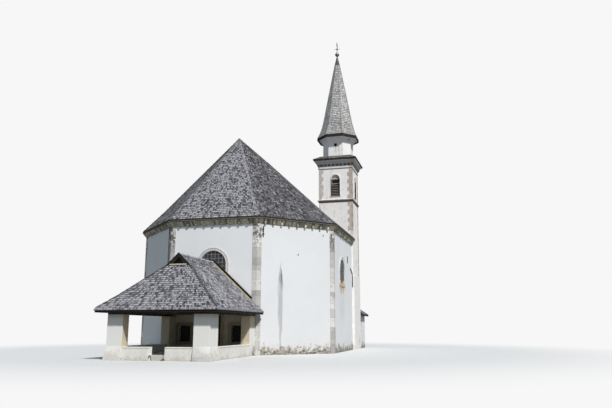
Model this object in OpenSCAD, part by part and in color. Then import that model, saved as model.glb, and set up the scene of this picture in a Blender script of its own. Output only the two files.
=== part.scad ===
// Village chapel: an eight-sided nave under a shingled roof, an open porch before its door,
// a square bell tower with an eight-sided spire at its right rear corner, and a small annex.
// Millimetres, +Z up. The origin is at ground level under the middle of the nave;
// the porch points along -Y and the tower stands on the +X, +Y side.

/* [Nave] */
// Half width of the nave, from its middle to the outer face of a side wall
nave_half_w = 7000; // [6600:50:7400]
// Half length of the nave, from its middle to the outer face of the front wall
nave_half_l = 7650; // [7300:50:8000]
// Half width of the front wall between its two corners
front_half = 2950; // [2800:50:3150]
// Thickness of the nave walls
wall_t = 700; // [550:50:850]
// Height of the nave walls above the ground
wall_h = 8430; // [8200:10:9000]
// Height of the nave floor above the ground
nave_floor_h = 320; // [280:10:400]
// Width of a corner quoin strip on each of its two walls
quoin_w = 300; // [200:10:400]
// How far the quoins stand proud of the plaster
quoin_proud = 25; // [10:1:40]

/* [Nave roof] */
// How far the eaves stand out from the walls
eave_out = 290; // [220:10:400]
// Height of the shingle edge at the eaves
eave_edge = 100; // [60:5:140]
// Rise of the roof from the top of its edge to the ridge
roof_rise = 6720; // [6000:20:7400]
// Half length of the ridge
ridge_half = 3450; // [3000:50:3800]
// How far the foot of the roof sags below a straight slope
flare_drop = 110; // [0:10:200]
// Part of the slope taken up by the flared foot
flare_part = 0.22; // [0.15:0.01:0.3]
// Upright thickness of the roof, with rafters, boards and shingles
roof_t = 350; // [250:10:420]
// Height of the sloping cornice boards under the eaves
frieze_h = 300; // [220:10:400]
// How far the foot of the cornice boards stands out from the wall
frieze_t = 30; // [20:1:50]
// How far the cornice boards stay behind the edge of the shingles
frieze_back = 50; // [30:5:90]
// Distance from one rafter end to the next
rafter_pitch = 590; // [450:10:800]
// Width of a rafter end
rafter_w = 120; // [80:5:160]
// How far a rafter end stands out from the wall
rafter_out = 165; // [130:5:200]
// How far a rafter end reaches below the cornice boards
rafter_drop = 40; // [10:5:80]

/* [Nave openings] */
// Width of the doorway
door_w = 1300; // [1000:10:1400]
// Height of the doorway above the nave floor
door_h = 2080; // [1900:10:2200]
// Width of the stone frames of the door and the porch windows
stone_frame_w = 190; // [120:10:220]
// How far the stone frames stand proud of the plaster
stone_frame_proud = 40; // [20:5:80]
// Gap between the stone frame of a porch window and the pilaster beside it
grille_gap = 25; // [5:5:60]
// How far the panes of the round-headed windows stand back from the wall's face
pane_set_in = 60; // [40:5:200]
// Width of a porch window
grille_window_w = 770; // [600:10:840]
// Height of the sill of a porch window above the ground
grille_window_sill = 800; // [700:10:1000]
// Height of a porch window
grille_window_h = 980; // [800:10:1200]
// Clear width of the round-headed nave windows
arch_window_w = 1740; // [1300:10:1900]
// Height of the sill of the round-headed windows above the ground
arch_window_sill = 4950; // [4800:10:5200]
// Height of the springing line of their arches above the ground
arch_window_spring = 5590; // [5500:10:5900]
// Width of the moulding around the round-headed windows
arch_frame_w = 210; // [120:10:260]
// Place of the side windows along the nave, from its middle to the front
side_window_y = 600; // [0:50:1200]

/* [Porch] */
// How far the porch stands in from the corners of the front wall
porch_inset = 50; // [0:10:150]
// Length of the porch from the front wall to the front of its piers
porch_l = 6920; // [6200:20:7600]
// Width of a front pier
pier_w = 900; // [700:10:1000]
// Depth of the right front pier
pier_d = 1090; // [800:10:1200]
// Depth of the left front pier, which is slimmer
left_pier_d = 620; // [500:10:1000]
// How far the foot of a pier spreads on its outer sides
pier_batter = 110; // [40:10:160]
// Height of the spread foot of a pier
pier_foot_h = 720; // [500:10:900]
// Width of a rear pilaster
pilaster_w = 560; // [400:10:700]
// Depth of a rear pilaster
pilaster_d = 950; // [600:10:1100]
// Thickness of the bench walls
bench_t = 350; // [280:10:420]
// Height of the bench walls above the ground
bench_h = 680; // [600:10:760]
// Thickness of the stone slabs that cap the bench walls
bench_cap_t = 60; // [40:5:90]
// How far these slabs stand out over both faces of the walls
bench_cap_lip = 15; // [0:1:30]
// Left side of the entrance gap, from the middle
gap_left = -440; // [-700:10:-300]
// Width of the entrance gap
gap_w = 880; // [800:10:1200]
// Height of the porch floor above the ground
porch_floor_h = 250; // [180:10:270]
// Height of the pier tops above the ground
pier_h = 2340; // [2250:10:2450]

/* [Porch roof] */
// How far the side eaves of the porch stand out from the piers
porch_eave_out = 560; // [400:10:600]
// How far the front eaves of the porch stand out from the piers
porch_front_out = 480; // [400:10:600]
// Height of the underside of the porch eaves above the ground
porch_eave_z = 2530; // [2460:10:2600]
// Height of the shingle edge of the porch roof
porch_edge = 90; // [60:5:120]
// Height of the porch ridge above the ground
porch_ridge_z = 5750; // [5500:10:5900]
// Distance of the gablet from the front of the piers
gablet_back = 2070; // [1800:10:2400]
// Height of the foot of the gablet below the ridge
gablet_h = 690; // [500:10:900]
// How far the foot of the porch roof sags below a straight slope
porch_flare_drop = 50; // [0:5:80]
// Upright thickness of the porch roof
porch_roof_t = 190; // [150:5:230]
// Thickness of the porch roof boards
board_t = 30; // [20:1:45]
// Height of the fascia board below the porch eaves
fascia_h = 100; // [60:5:180]
// Width of the porch timbers
timber_w = 140; // [100:5:180]
// Height of the wall plates of the porch at their highest
beam_h = 420; // [300:10:500]
// Height of the rafters and ties of the porch
timber_h = 160; // [120:5:200]
// Height of the boards where the porch roof meets the front wall
flashing_h = 170; // [120:10:220]
// Number of roof frames in the porch
frame_count = 5; // [3:1:7]

/* [Tower shaft] */
// Side of the square tower
tower_w = 2740; // [2500:10:2900]
// How far the tower stands out from the plane of the right wall
tower_proud = 110; // [60:10:200]
// Thickness of the tower walls
tower_t = 520; // [400:10:600]
// Height of the lower ledge of the tower
ledge_z = 5700; // [5000:50:6200]
// How far the foot of the tower is thicker than its shaft
ledge_out = 60; // [30:5:90]
// Height of the string course above the ground
string_z = 11610; // [11300:10:11800]
// Height of the string course
string_h = 260; // [180:10:320]
// How far the string course stands out
string_out = 90; // [50:5:140]

/* [Belfry] */
// Height of the belfry from the string course to the necking
belfry_h = 2550; // [2450:10:2750]
// Clear width of a belfry window
bell_window_w = 660; // [500:10:760]
// Height of the sill of a belfry window above the string course
bell_window_sill = 290; // [200:10:400]
// Height of a belfry window from sill to springing
bell_window_h = 1420; // [1300:10:1480]
// Width of the moulding around a belfry window
bell_frame_w = 95; // [60:5:130]
// Number of louvre boards in a belfry window
louvre_count = 8; // [5:1:10]
// How far the louvre boards stand back from the tower's face
louvre_set_in = 20; // [10:5:80]
// Height of the cornice from the foot of its necking to the eaves of the skirt roof
cornice_h = 740; // [640:10:840]
// How far the cornice stands out
cornice_out = 360; // [280:10:420]
// Height of the necking band at the foot of the cornice
necking_h = 210; // [150:10:240]
// Height of the small consoles above the necking
console_h = 170; // [120:10:200]
// Width of a console
console_w = 150; // [100:10:180]
// How far the ledge above the consoles stands out from the tower
console_out = 165; // [120:5:200]
// Number of consoles on each face
console_count = 9; // [7:1:10]
// Height of the lowest quoin block above the nave roof
quoin_foot_z = 9300; // [9200:20:9600]
// Height of the quoin blocks on the tower
tower_quoin_h = 300; // [240:10:400]
// Length of the long quoin blocks on the tower
tower_quoin_w = 370; // [280:10:420]

/* [Drum and spire] */
// Width of the drum across its main faces
drum_w = 2330; // [2100:10:2400]
// Width of each main face of the drum
drum_face = 1210; // [1000:10:1350]
// Height of the drum wall up to the spire cornice
drum_h = 1260; // [1100:10:1400]
// Thickness of the drum wall
drum_t = 280; // [200:10:350]
// Diameter of the round holes in the drum
drum_hole_d = 260; // [200:10:400]
// Height of the skirt roof
skirt_h = 420; // [340:10:500]
// Upright thickness of the skirt roof
skirt_t = 180; // [120:10:220]
// Height of the spire cornice
spire_cornice_h = 430; // [340:10:500]
// Width of the spire eaves across opposite sides
spire_eave_w = 3300; // [3100:10:3500]
// Height of the spire from its eaves to the metal cap
spire_h = 6800; // [6200:20:7400]
// Width of the spire at the metal cap
spire_top_w = 420; // [340:10:520]
// Thickness of the spire, with boards and shingles
spire_t = 160; // [100:10:200]
// Height of the metal cap
cap_h = 880; // [700:10:1000]
// Diameter of the copper ball
ball_d = 360; // [280:10:420]
// Height of the cross above the ball
cross_h = 960; // [800:10:1100]
// Width of the arms of the cross
cross_w = 480; // [360:10:560]
// Thickness of the bars of the cross
cross_t = 45; // [30:1:60]

/* [Annex] */
// Width of the annex
annex_w = 2500; // [2200:10:2600]
// Length of the annex behind the tower
annex_l = 2540; // [2000:10:3000]
// Height of the annex side walls
annex_h = 2780; // [2500:10:2900]
// Thickness of the annex walls
annex_t = 350; // [280:10:420]
// Rise of the annex roof for each unit of run
annex_slope = 0.65; // [0.5:0.01:0.75]
// How far the annex roof stands out
annex_eave_out = 290; // [200:10:400]
// Upright thickness of the annex roof
annex_roof_t = 160; // [120:5:200]
// Width of the annex window
annex_window_w = 560; // [400:10:700]
// Height of the annex window
annex_window_h = 760; // [600:10:850]
// Height of the sill of the annex window
annex_window_sill = 1490; // [1300:10:1600]

/* [Hidden] */

// Smoothness of round shapes
$fn = 64;
// A length longer than the building, for cuts that pass right through
through = 40000;
// Share by which an octagon's corners spread when its sides move out
spread = 2 - sqrt(2);

// Length that each diagonal wall takes off both neighbouring walls
corner_leg = nave_half_w - front_half;

// Corners of the nave outline moved out by a distance, from the right front corner, turning left
function nave_outline(out) =
  let (w = nave_half_w + out, l = nave_half_l + out, leg = corner_leg + out * spread)
  [[w, leg - l], [w, l - leg], [w - leg, l], [leg - w, l],
   [-w, l - leg], [-w, leg - l], [leg - w, -l], [w - leg, -l]];

front_y = -nave_half_l;
side_half = nave_half_l - corner_leg;
roof_edge_z = wall_h + eave_edge;
ridge_z = roof_edge_z + roof_rise;
door_head_z = nave_floor_h + door_h;

tower_x1 = nave_half_w + tower_proud - tower_w;
tower_x2 = nave_half_w + tower_proud;
tower_y1 = side_half;
tower_y2 = side_half + tower_w;
tower_cx = (tower_x1 + tower_x2) / 2;
tower_cy = (tower_y1 + tower_y2) / 2;

porch_half = front_half - porch_inset;
porch_front = front_y - porch_l;
pier_back = porch_front + pier_d;
left_pier_back = porch_front + left_pier_d;
pilaster_front = front_y - pilaster_d;
porch_roof_half = porch_half + porch_eave_out;
porch_roof_front = porch_front - porch_front_out;
porch_edge_z = porch_eave_z + porch_edge;
gablet_y = porch_front + gablet_back;
grille_window_x = porch_half - pilaster_w - grille_gap - stone_frame_w - grille_window_w / 2;
gap_right = gap_left + gap_w;

belfry_z = string_z + string_h;
necking_z = belfry_z + belfry_h;
cornice_z = necking_z + cornice_h;
skirt_edge = 60;
drum_z = cornice_z + skirt_edge + skirt_h - 60;
spire_cornice_z = drum_z + drum_h;
spire_z = spire_cornice_z + spire_cornice_h;
spire_edge = 70;
cap_z = spire_z + spire_h;
ball_z = cap_z + cap_h + ball_d / 2 - 20;
bell_spring_z = belfry_z + bell_window_sill + bell_window_h;

annex_y1 = tower_y2 + ledge_out;
annex_y2 = annex_y1 + annex_l;
annex_x2 = tower_x2;
annex_x1 = tower_x2 - annex_w;
annex_mid = (annex_x1 + annex_x2) / 2;
annex_window_y = annex_y1 + 90;

plaster_col = [0.91, 0.91, 0.90];
tower_col = [0.86, 0.85, 0.82];
stone_col = [0.66, 0.64, 0.60];
shingle_col = [0.50, 0.49, 0.49];
spire_col = [0.62, 0.60, 0.57];
timber_col = [0.26, 0.20, 0.15];
pale_timber_col = [0.78, 0.74, 0.64];
iron_col = [0.12, 0.12, 0.13];
glass_col = [0.16, 0.18, 0.20];
copper_col = [0.72, 0.42, 0.24];
metal_col = [0.45, 0.46, 0.47];
bench_col = [0.83, 0.81, 0.75];

// Straight-sided outlines

// Square ring corners around a rectangle moved out by a distance, at a height
function box_ring(x1, y1, x2, y2, out, z) =
  [[x2 + out, y1 - out, z], [x2 + out, y2 + out, z], [x1 - out, y2 + out, z], [x1 - out, y1 - out, z]];

// Corners of an octagon with a given width across flats and face width, at a height
function oct_ring(cx, cy, width, face, z) =
  let (a = width / 2, b = face / 2)
  [[cx + a, cy - b, z], [cx + a, cy + b, z], [cx + b, cy + a, z], [cx - b, cy + a, z],
   [cx - a, cy + b, z], [cx - a, cy - b, z], [cx - b, cy - a, z], [cx + b, cy - a, z]];

function nave_ring(out, z) = [for (p = nave_outline(out)) [p[0], p[1], z]];

function regular_face(width) = width * tan(22.5);

// A closed skin through stacked rings that have the same number of corners
module stacked_rings(rings) {
  n = len(rings[0]);
  m = len(rings);
  points = [for (ring = rings) for (p = ring) p];
  sides = [for (j = [0:m - 2]) for (i = [0:n - 1])
    [j * n + i, (j + 1) * n + i, (j + 1) * n + (i + 1) % n, j * n + (i + 1) % n]];
  foot = [[for (i = [0:n - 1]) i]];
  head = [[for (i = [0:n - 1]) m * n - 1 - i]];
  polyhedron(points, concat(sides, foot, head), convexity = 6);
}

// A moulding that runs right round: the rings follow its section and close on themselves
module ring_moulding(rings) {
  n = len(rings[0]);
  m = len(rings);
  points = [for (ring = rings) for (p = ring) p];
  sides = [for (j = [0:m - 1]) for (i = [0:n - 1])
    [j * n + i, ((j + 1) % m) * n + i, ((j + 1) % m) * n + (i + 1) % n, j * n + (i + 1) % n]];
  polyhedron(points, sides, convexity = 6);
}

// A plate cut from a section drawn in the XZ plane, from y1 towards +Y
module plate_xz(y1, depth) {
  translate([0, y1 + depth, 0])
    rotate([90, 0, 0])
      linear_extrude(depth)
        children();
}

// A plate cut from a section drawn in the YZ plane, from x1 towards +X
module plate_yz(x1, depth) {
  translate([x1, 0, 0])
    rotate([90, 0, 90])
      linear_extrude(depth)
        children();
}

// Round-headed outline, centred on x = 0
module arch_outline(width, sill, spring) {
  translate([-width / 2, sill])
    square([width, spring - sill]);
  translate([0, spring])
    circle(d = width);
}

module arch_ring_outline(width, sill, spring, band) {
  difference() {
    arch_outline(width + 2 * band, sill - band, spring);
    arch_outline(width, sill, spring);
  }
}

// Ground covered by the tower, and the strip to its right where the eaves stop
module tower_footprint() {
  translate([tower_x1, tower_y1])
    square([tower_w + eave_out, tower_w]);
}

// Nave walls

// One side of the nave wall, by the number of its first corner
module wall_band(i) {
  outer = nave_outline(0);
  inner = nave_outline(-wall_t);
  j = (i + 1) % 8;
  polygon([outer[i], outer[j], inner[j], inner[i]]);
}

module plain_wall(i, low, high) {
  translate([0, 0, low])
    linear_extrude(high - low)
      wall_band(i);
}

module doorway_cut() {
  translate([-door_w / 2, front_y - wall_t])
    square([door_w, 3 * wall_t]);
}

module grille_window_cut(side) {
  plate_xz(front_y - wall_t, 3 * wall_t)
    translate([side * grille_window_x - grille_window_w / 2, grille_window_sill])
      square([grille_window_w, grille_window_h]);
}

module front_wall_side(side) {
  color(plaster_col)
    difference() {
      linear_extrude(door_head_z)
        intersection() {
          difference() {
            wall_band(6);
            doorway_cut();
          }
          translate([side > 0 ? 0 : -nave_half_w, front_y])
            square([nave_half_w, wall_t]);
        }
      grille_window_cut(side);
    }
}

module front_wall_left() {
  front_wall_side(-1);
}

module front_wall_right() {
  front_wall_side(1);
}

// All that lies below the boards where the porch roof meets the front wall
module below_porch_roof() {
  low = porch_ridge_z - front_half * upper_slope + flashing_h;
  polygon([[0, porch_ridge_z + flashing_h], [-front_half, low], [-front_half, 0], [front_half, 0],
    [front_half, low]]);
}

// The front window ends where the porch roof begins
module front_window_outline() {
  difference() {
    arch_outline(arch_window_w, arch_window_sill, arch_window_spring);
    below_porch_roof();
  }
}

module front_wall_top() {
  color(plaster_col)
    difference() {
      plain_wall(6, door_head_z, wall_h);
      plate_xz(front_y - wall_t, 3 * wall_t)
        front_window_outline();
    }
}

module front_right_wall() {
  color(plaster_col)
    plain_wall(7, 0, wall_h);
}

// The wall beside the tower ends square against the tower's front face
module right_wall() {
  outer = nave_outline(0);
  inner = nave_outline(-wall_t);
  color(plaster_col)
    difference() {
      linear_extrude(wall_h)
        polygon([outer[0], outer[1], [nave_half_w - wall_t, tower_y1], inner[0]]);
      plate_yz(nave_half_w - 2 * wall_t, 3 * wall_t)
        translate([-side_window_y, 0])
          arch_outline(arch_window_w, arch_window_sill, arch_window_spring);
    }
}

// What is left of the diagonal wall between the tower and the rear wall
module rear_right_wall() {
  color(plaster_col)
    linear_extrude(wall_h)
      intersection() {
        wall_band(1);
        translate([tower_x1 - nave_half_w, 0])
          square([nave_half_w, 2 * nave_half_l]);
      }
}

module rear_wall() {
  color(plaster_col)
    plain_wall(2, 0, wall_h);
}

module rear_left_wall() {
  color(plaster_col)
    plain_wall(3, 0, wall_h);
}

module left_wall() {
  color(plaster_col)
    difference() {
      plain_wall(4, 0, wall_h);
      plate_yz(-nave_half_w - wall_t, 3 * wall_t)
        translate([-side_window_y, 0])
          arch_outline(arch_window_w, arch_window_sill, arch_window_spring);
    }
}

module front_left_wall() {
  color(plaster_col)
    plain_wall(5, 0, wall_h);
}

// One corner strip, folded around a corner of the nave
module quoin_footprint(i) {
  here = nave_outline(0)[i];
  before = nave_outline(0)[(i + 7) % 8];
  after = nave_outline(0)[(i + 1) % 8];
  proud = nave_outline(quoin_proud)[i];
  to_before = (before - here) / norm(before - here);
  to_after = (after - here) / norm(after - here);
  before_out = [-to_before[1], to_before[0]];
  after_out = [to_after[1], -to_after[0]];
  polygon([here, here + quoin_w * to_before,
    here + quoin_w * to_before + quoin_proud * before_out, proud,
    here + quoin_w * to_after + quoin_proud * after_out, here + quoin_w * to_after]);
}

module corner_quoins() {
  color(stone_col)
    linear_extrude(wall_h - frieze_h)
      for (i = [0, 2, 3, 4, 5, 6, 7])
        quoin_footprint(i);
}

module nave_floor() {
  color(stone_col)
    linear_extrude(nave_floor_h)
      difference() {
        union() {
          polygon(nave_outline(-wall_t));
          translate([-door_w / 2, front_y])
            square([door_w, 2 * wall_t]);
        }
        tower_footprint();
      }
}

// Nave roof

// Corners of the ridge that each corner of the roof runs up to
ridge_ends = [for (i = [0:7]) (i == 0 || i >= 5) ? [0, -ridge_half, ridge_z] : [0, ridge_half, ridge_z]];

function flare_ring() =
  let (eave = nave_ring(eave_out, roof_edge_z))
  [for (i = [0:7]) eave[i] + flare_part * (ridge_ends[i] - eave[i]) - [0, 0, flare_drop]];

module roof_mass() {
  points = concat(nave_ring(eave_out, wall_h), nave_ring(eave_out, roof_edge_z), flare_ring(),
    [[0, -ridge_half, ridge_z], [0, ridge_half, ridge_z]]);
  edge = [for (j = [0:1]) for (i = [0:7])
    [j * 8 + i, (j + 1) * 8 + i, (j + 1) * 8 + (i + 1) % 8, j * 8 + (i + 1) % 8]];
  slopes = [[16, 24, 25, 17], [17, 25, 18], [18, 25, 19], [19, 25, 20],
    [20, 25, 24, 21], [21, 24, 22], [22, 24, 23], [23, 24, 16]];
  polyhedron(points, concat(edge, slopes, [[for (i = [0:7]) i]]), convexity = 6);
}

module nave_roof() {
  color(shingle_col)
    difference() {
      roof_mass();
      translate([0, 0, -roof_t])
        roof_mass();
      linear_extrude(through)
        tower_footprint();
    }
}

// Timber plate on the walls that carries the rafters
module roof_plate() {
  color(timber_col)
    difference() {
      intersection() {
        translate([0, 0, -roof_t])
          roof_mass();
        translate([0, 0, wall_h])
          linear_extrude(through)
            difference() {
              polygon(nave_outline(-wall_t / 7));
              polygon(nave_outline(-wall_t * 4 / 7));
            }
      }
      linear_extrude(through)
        tower_footprint();
    }
}

// Sloping boards that run from the wall out to the edge of the roof
module eaves_frieze() {
  foot = wall_h - frieze_h;
  color(timber_col)
    difference() {
      ring_moulding([nave_ring(0, foot), nave_ring(frieze_t, foot),
        nave_ring(eave_out - frieze_back, wall_h - 30), nave_ring(eave_out - frieze_back, wall_h),
        nave_ring(0, wall_h)]);
      linear_extrude(through)
        tower_footprint();
    }
}

// One rafter end under the cornice boards, along +X from the wall, with its foot at z = 0
module rafter_end() {
  rise = (rafter_out - frieze_t) * (frieze_h - 30) / (eave_out - frieze_back - frieze_t);
  translate([0, rafter_w / 2, 0])
    rotate([90, 0, 0])
      linear_extrude(rafter_w)
        polygon([[0, 0], [rafter_out * 0.8, 0], [rafter_out, rafter_drop * 0.7],
          [rafter_out, rafter_drop + rise], [frieze_t, rafter_drop], [0, rafter_drop]]);
}

module rafter_row(i) {
  start = nave_outline(0)[i];
  end = nave_outline(0)[(i + 1) % 8];
  side_l = norm(end - start);
  count = 1 + floor((side_l - 2 * quoin_w - rafter_w) / rafter_pitch);
  along = (end - start) / side_l;
  turn = atan2(-along[0], along[1]);
  for (k = [0:count - 1]) {
    spot = start + along * (side_l / 2 + (k - (count - 1) / 2) * rafter_pitch);
    clear_x = spot[0] < tower_x1 - rafter_pitch / 2;
    clear_y = spot[1] < tower_y1 - rafter_w;
    if (clear_x || clear_y)
      translate([spot[0], spot[1], wall_h - frieze_h - rafter_drop])
        rotate([0, 0, turn])
          rafter_end();
  }
}

module rafter_ends() {
  color(pale_timber_col)
    for (i = [0:7])
      rafter_row(i);
}

// Nave door and windows

module entrance_door() {
  leaf = door_w / 2 - 2;
  door_t = 60;
  color(timber_col)
    for (side = [-1, 1])
      difference() {
        translate([side > 0 ? 1 : -1 - leaf, front_y + wall_t / 3, nave_floor_h])
          cube([leaf, door_t, door_h]);
        for (row = [0:2])
          translate([side * (door_w / 4) - leaf * 0.3, front_y + wall_t / 3 - 1,
            nave_floor_h + door_h * (0.08 + row * 0.31)])
            cube([leaf * 0.6, 21, door_h * 0.24]);
      }
}

// Stone frames of the doorway and of the two porch windows
module stone_surrounds() {
  color(stone_col)
    plate_xz(front_y - stone_frame_proud, stone_frame_proud) {
      difference() {
        translate([-door_w / 2 - stone_frame_w, porch_floor_h])
          square([door_w + 2 * stone_frame_w, door_head_z + stone_frame_w - porch_floor_h]);
        translate([-door_w / 2, 0])
          square([door_w, door_head_z]);
      }
      for (side = [-1, 1])
        translate([side * grille_window_x, 0])
          difference() {
            translate([-grille_window_w / 2 - stone_frame_w, grille_window_sill - stone_frame_w])
              square([grille_window_w + 2 * stone_frame_w, grille_window_h + 2 * stone_frame_w]);
            translate([-grille_window_w / 2, grille_window_sill])
              square([grille_window_w, grille_window_h]);
          }
    }
}

module arch_frame_section() {
  arch_ring_outline(arch_window_w, arch_window_sill, arch_window_spring, arch_frame_w);
}

module arch_window_frames() {
  color(stone_col) {
    plate_xz(front_y - stone_frame_proud, stone_frame_proud)
      difference() {
        arch_frame_section();
        below_porch_roof();
      }
    plate_yz(nave_half_w, stone_frame_proud)
      translate([-side_window_y, 0])
        arch_frame_section();
    plate_yz(-nave_half_w - stone_frame_proud, stone_frame_proud)
      translate([-side_window_y, 0])
        arch_frame_section();
  }
}

// Glass of the round-headed windows, of the porch windows and of the annex window
module window_panes() {
  pane_t = 24;
  set_in = wall_t / 3;
  color(glass_col) {
    plate_xz(front_y + pane_set_in, pane_t)
      front_window_outline();
    plate_yz(nave_half_w - pane_set_in - pane_t, pane_t)
      translate([-side_window_y, 0])
        arch_outline(arch_window_w, arch_window_sill, arch_window_spring);
    plate_yz(-nave_half_w + pane_set_in, pane_t)
      translate([-side_window_y, 0])
        arch_outline(arch_window_w, arch_window_sill, arch_window_spring);
    for (side = [-1, 1])
      translate([side * grille_window_x - grille_window_w / 2, front_y + set_in, grille_window_sill])
        cube([grille_window_w, pane_t, grille_window_h]);
    translate([annex_x2 - annex_t / 2, annex_window_y, annex_window_sill])
      cube([pane_t, annex_window_w, annex_window_h]);
  }
}

// Porch

// A pier of a given depth whose two outer sides spread towards the ground
module battered_pier(depth) {
  intersection() {
    plate_xz(-pier_batter, depth + pier_batter)
      polygon([[0, 0], [pier_w + pier_batter, 0], [pier_w, pier_foot_h], [pier_w, pier_h], [0, pier_h]]);
    plate_yz(0, pier_w + pier_batter)
      polygon([[-pier_batter, 0], [depth, 0], [depth, pier_h], [0, pier_h], [0, pier_foot_h]]);
  }
}

// Two piers at the front and two pilasters against the nave
module porch_piers() {
  color(plaster_col) {
    for (side = [0, 1])
      mirror([side, 0, 0])
        translate([porch_half - pier_w, porch_front, 0])
          battered_pier(side == 0 ? pier_d : left_pier_d);
    linear_extrude(pier_h)
      difference() {
        for (side = [0, 1])
          mirror([side, 0])
            translate([porch_half - pilaster_w, pilaster_front])
              square([pilaster_w, pilaster_d]);
        quoin_footprint(6);
        quoin_footprint(7);
      }
  }
}

// Ground plan of the low walls, made wider on both faces by a distance
module bench_plan(lip) {
  inner_left = pier_w - porch_half;
  translate([inner_left, porch_front + 40 - lip])
    square([gap_left - inner_left, bench_t + 2 * lip]);
  translate([gap_right, porch_front + 40 - lip])
    square([-inner_left - gap_right, bench_t + 2 * lip]);
  for (side = [0, 1])
    mirror([side, 0])
      translate([porch_half - bench_t - lip, side == 0 ? pier_back : left_pier_back])
        square([bench_t + 2 * lip, pilaster_front - (side == 0 ? pier_back : left_pier_back)]);
}

// Low walls across the front beside the entrance gap and along both sides
module bench_walls() {
  color(bench_col)
    linear_extrude(bench_h - bench_cap_t)
      bench_plan(0);
}

// Stone slabs on the low walls
module bench_caps() {
  color(stone_col)
    translate([0, 0, bench_h - bench_cap_t])
      linear_extrude(bench_cap_t)
        bench_plan(bench_cap_lip);
}

// Paved floor with the threshold stone in the entrance gap
module porch_floor() {
  color(stone_col) {
    linear_extrude(porch_floor_h)
      difference() {
        union() {
          translate([-porch_half + bench_t, porch_front + 40 + bench_t])
            square([2 * (porch_half - bench_t), porch_l - 40 - bench_t]);
          translate([gap_left, porch_front + 20])
            square([gap_w, 2 * bench_t]);
        }
        for (side = [0, 1])
          mirror([side, 0]) {
            translate([porch_half - pier_w, porch_front])
              square([pier_w, side == 0 ? pier_d : left_pier_d]);
            translate([porch_half - pilaster_w, pilaster_front])
              square([pilaster_w, pilaster_d]);
          }
      }
    translate([gap_left, porch_front + 20, 0])
      cube([gap_w, bench_t + 20, porch_floor_h + 20]);
  }
}

// Porch roof

// Height of the straight slope of the porch roof at a distance from its middle plane
porch_slope = (porch_ridge_z - porch_edge_z) / porch_roof_half;
porch_kick = flare_part * porch_roof_half;
porch_kick_z = porch_edge_z + porch_kick * porch_slope - porch_flare_drop;
upper_slope = (porch_ridge_z - porch_kick_z) / (porch_roof_half - porch_kick);
gablet_half = gablet_h / upper_slope;
gablet_t = 100;
gablet_sill = 60;

// A closed body under the porch roof's slopes, with its gablet moved to the front by a distance
module porch_roof_mass(gablet_shift, back) {
  gy = gablet_y - gablet_shift;
  gz = porch_ridge_z - gablet_h;
  kick_x = porch_roof_half - porch_kick;
  kick_y = porch_roof_front + porch_kick;
  intersection() {
    plate_xz(porch_roof_front, back - porch_roof_front)
      polygon([[-porch_roof_half, porch_eave_z], [porch_roof_half, porch_eave_z],
        [porch_roof_half, porch_edge_z], [kick_x, porch_kick_z], [0, porch_ridge_z],
        [-kick_x, porch_kick_z], [-porch_roof_half, porch_edge_z]]);
    plate_yz(-porch_roof_half, 2 * porch_roof_half)
      polygon([[porch_roof_front, porch_eave_z], [back, porch_eave_z], [back, porch_ridge_z + gablet_h],
        [gy, porch_ridge_z + gablet_h], [gy, gz], [kick_y, porch_kick_z],
        [porch_roof_front, porch_edge_z]]);
  }
}

// Opening in the gablet, with a low sill under it
module gablet_opening() {
  sill_z = porch_ridge_z - gablet_h + gablet_sill;
  head_z = porch_ridge_z - porch_roof_t - gablet_sill;
  half = (head_z - sill_z) / upper_slope;
  plate_xz(gablet_y - gablet_t, 3 * gablet_t)
    polygon([[half, sill_z], [0, head_z], [-half, sill_z]]);
}

// The porch roof stops against the quoins of the front wall
module porch_roof() {
  color(shingle_col)
    difference() {
      porch_roof_mass(0, front_y - quoin_proud);
      under_porch_roof();
      gablet_opening();
    }
}

// Underside of the porch roof at a distance from its middle plane
function porch_under(x) =
  (x > porch_roof_half - porch_kick
    ? porch_kick_z - (x - porch_roof_half + porch_kick) * (porch_kick_z - porch_edge_z) / porch_kick
    : porch_ridge_z - x * upper_slope) - porch_roof_t;

// The space under the boards of the porch roof
module under_porch_roof() {
  translate([0, 0, -porch_roof_t])
    porch_roof_mass(-gablet_t, front_y + wall_t);
}

// Wall plates on the piers along each side and across the front, cut to the slope of the roof
module porch_beams() {
  color(timber_col)
    difference() {
      intersection() {
        under_porch_roof();
        translate([-porch_half, porch_front, pier_h])
          cube([2 * porch_half, porch_l, beam_h]);
      }
      translate([timber_w - porch_half, porch_front + timber_w, 0])
        cube([2 * (porch_half - timber_w), porch_l, through]);
      linear_extrude(through) {
        quoin_footprint(6);
        quoin_footprint(7);
      }
    }
}

// Outline of one roof frame: two rafters under the boards and a tie between them
module roof_frame_outline() {
  foot_x = porch_half - timber_w;
  tie_z = pier_h + 100;
  difference() {
    polygon([[foot_x, porch_under(foot_x)], [0, porch_under(0)], [-foot_x, porch_under(foot_x)],
      [-foot_x, tie_z], [foot_x, tie_z]]);
    polygon([[foot_x - 3 * timber_h, tie_z + timber_h], [0, porch_under(0) - 2 * timber_h],
      [3 * timber_h - foot_x, tie_z + timber_h]]);
  }
}

module porch_roof_frames() {
  first = gablet_y + gablet_t + timber_w;
  last = front_y - 500;
  color(timber_col)
    intersection() {
      under_porch_roof();
      for (k = [0:frame_count - 1])
        plate_xz(first + k * (last - first) / (frame_count - 1) - timber_w / 2, timber_w)
          roof_frame_outline();
    }
}

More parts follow.
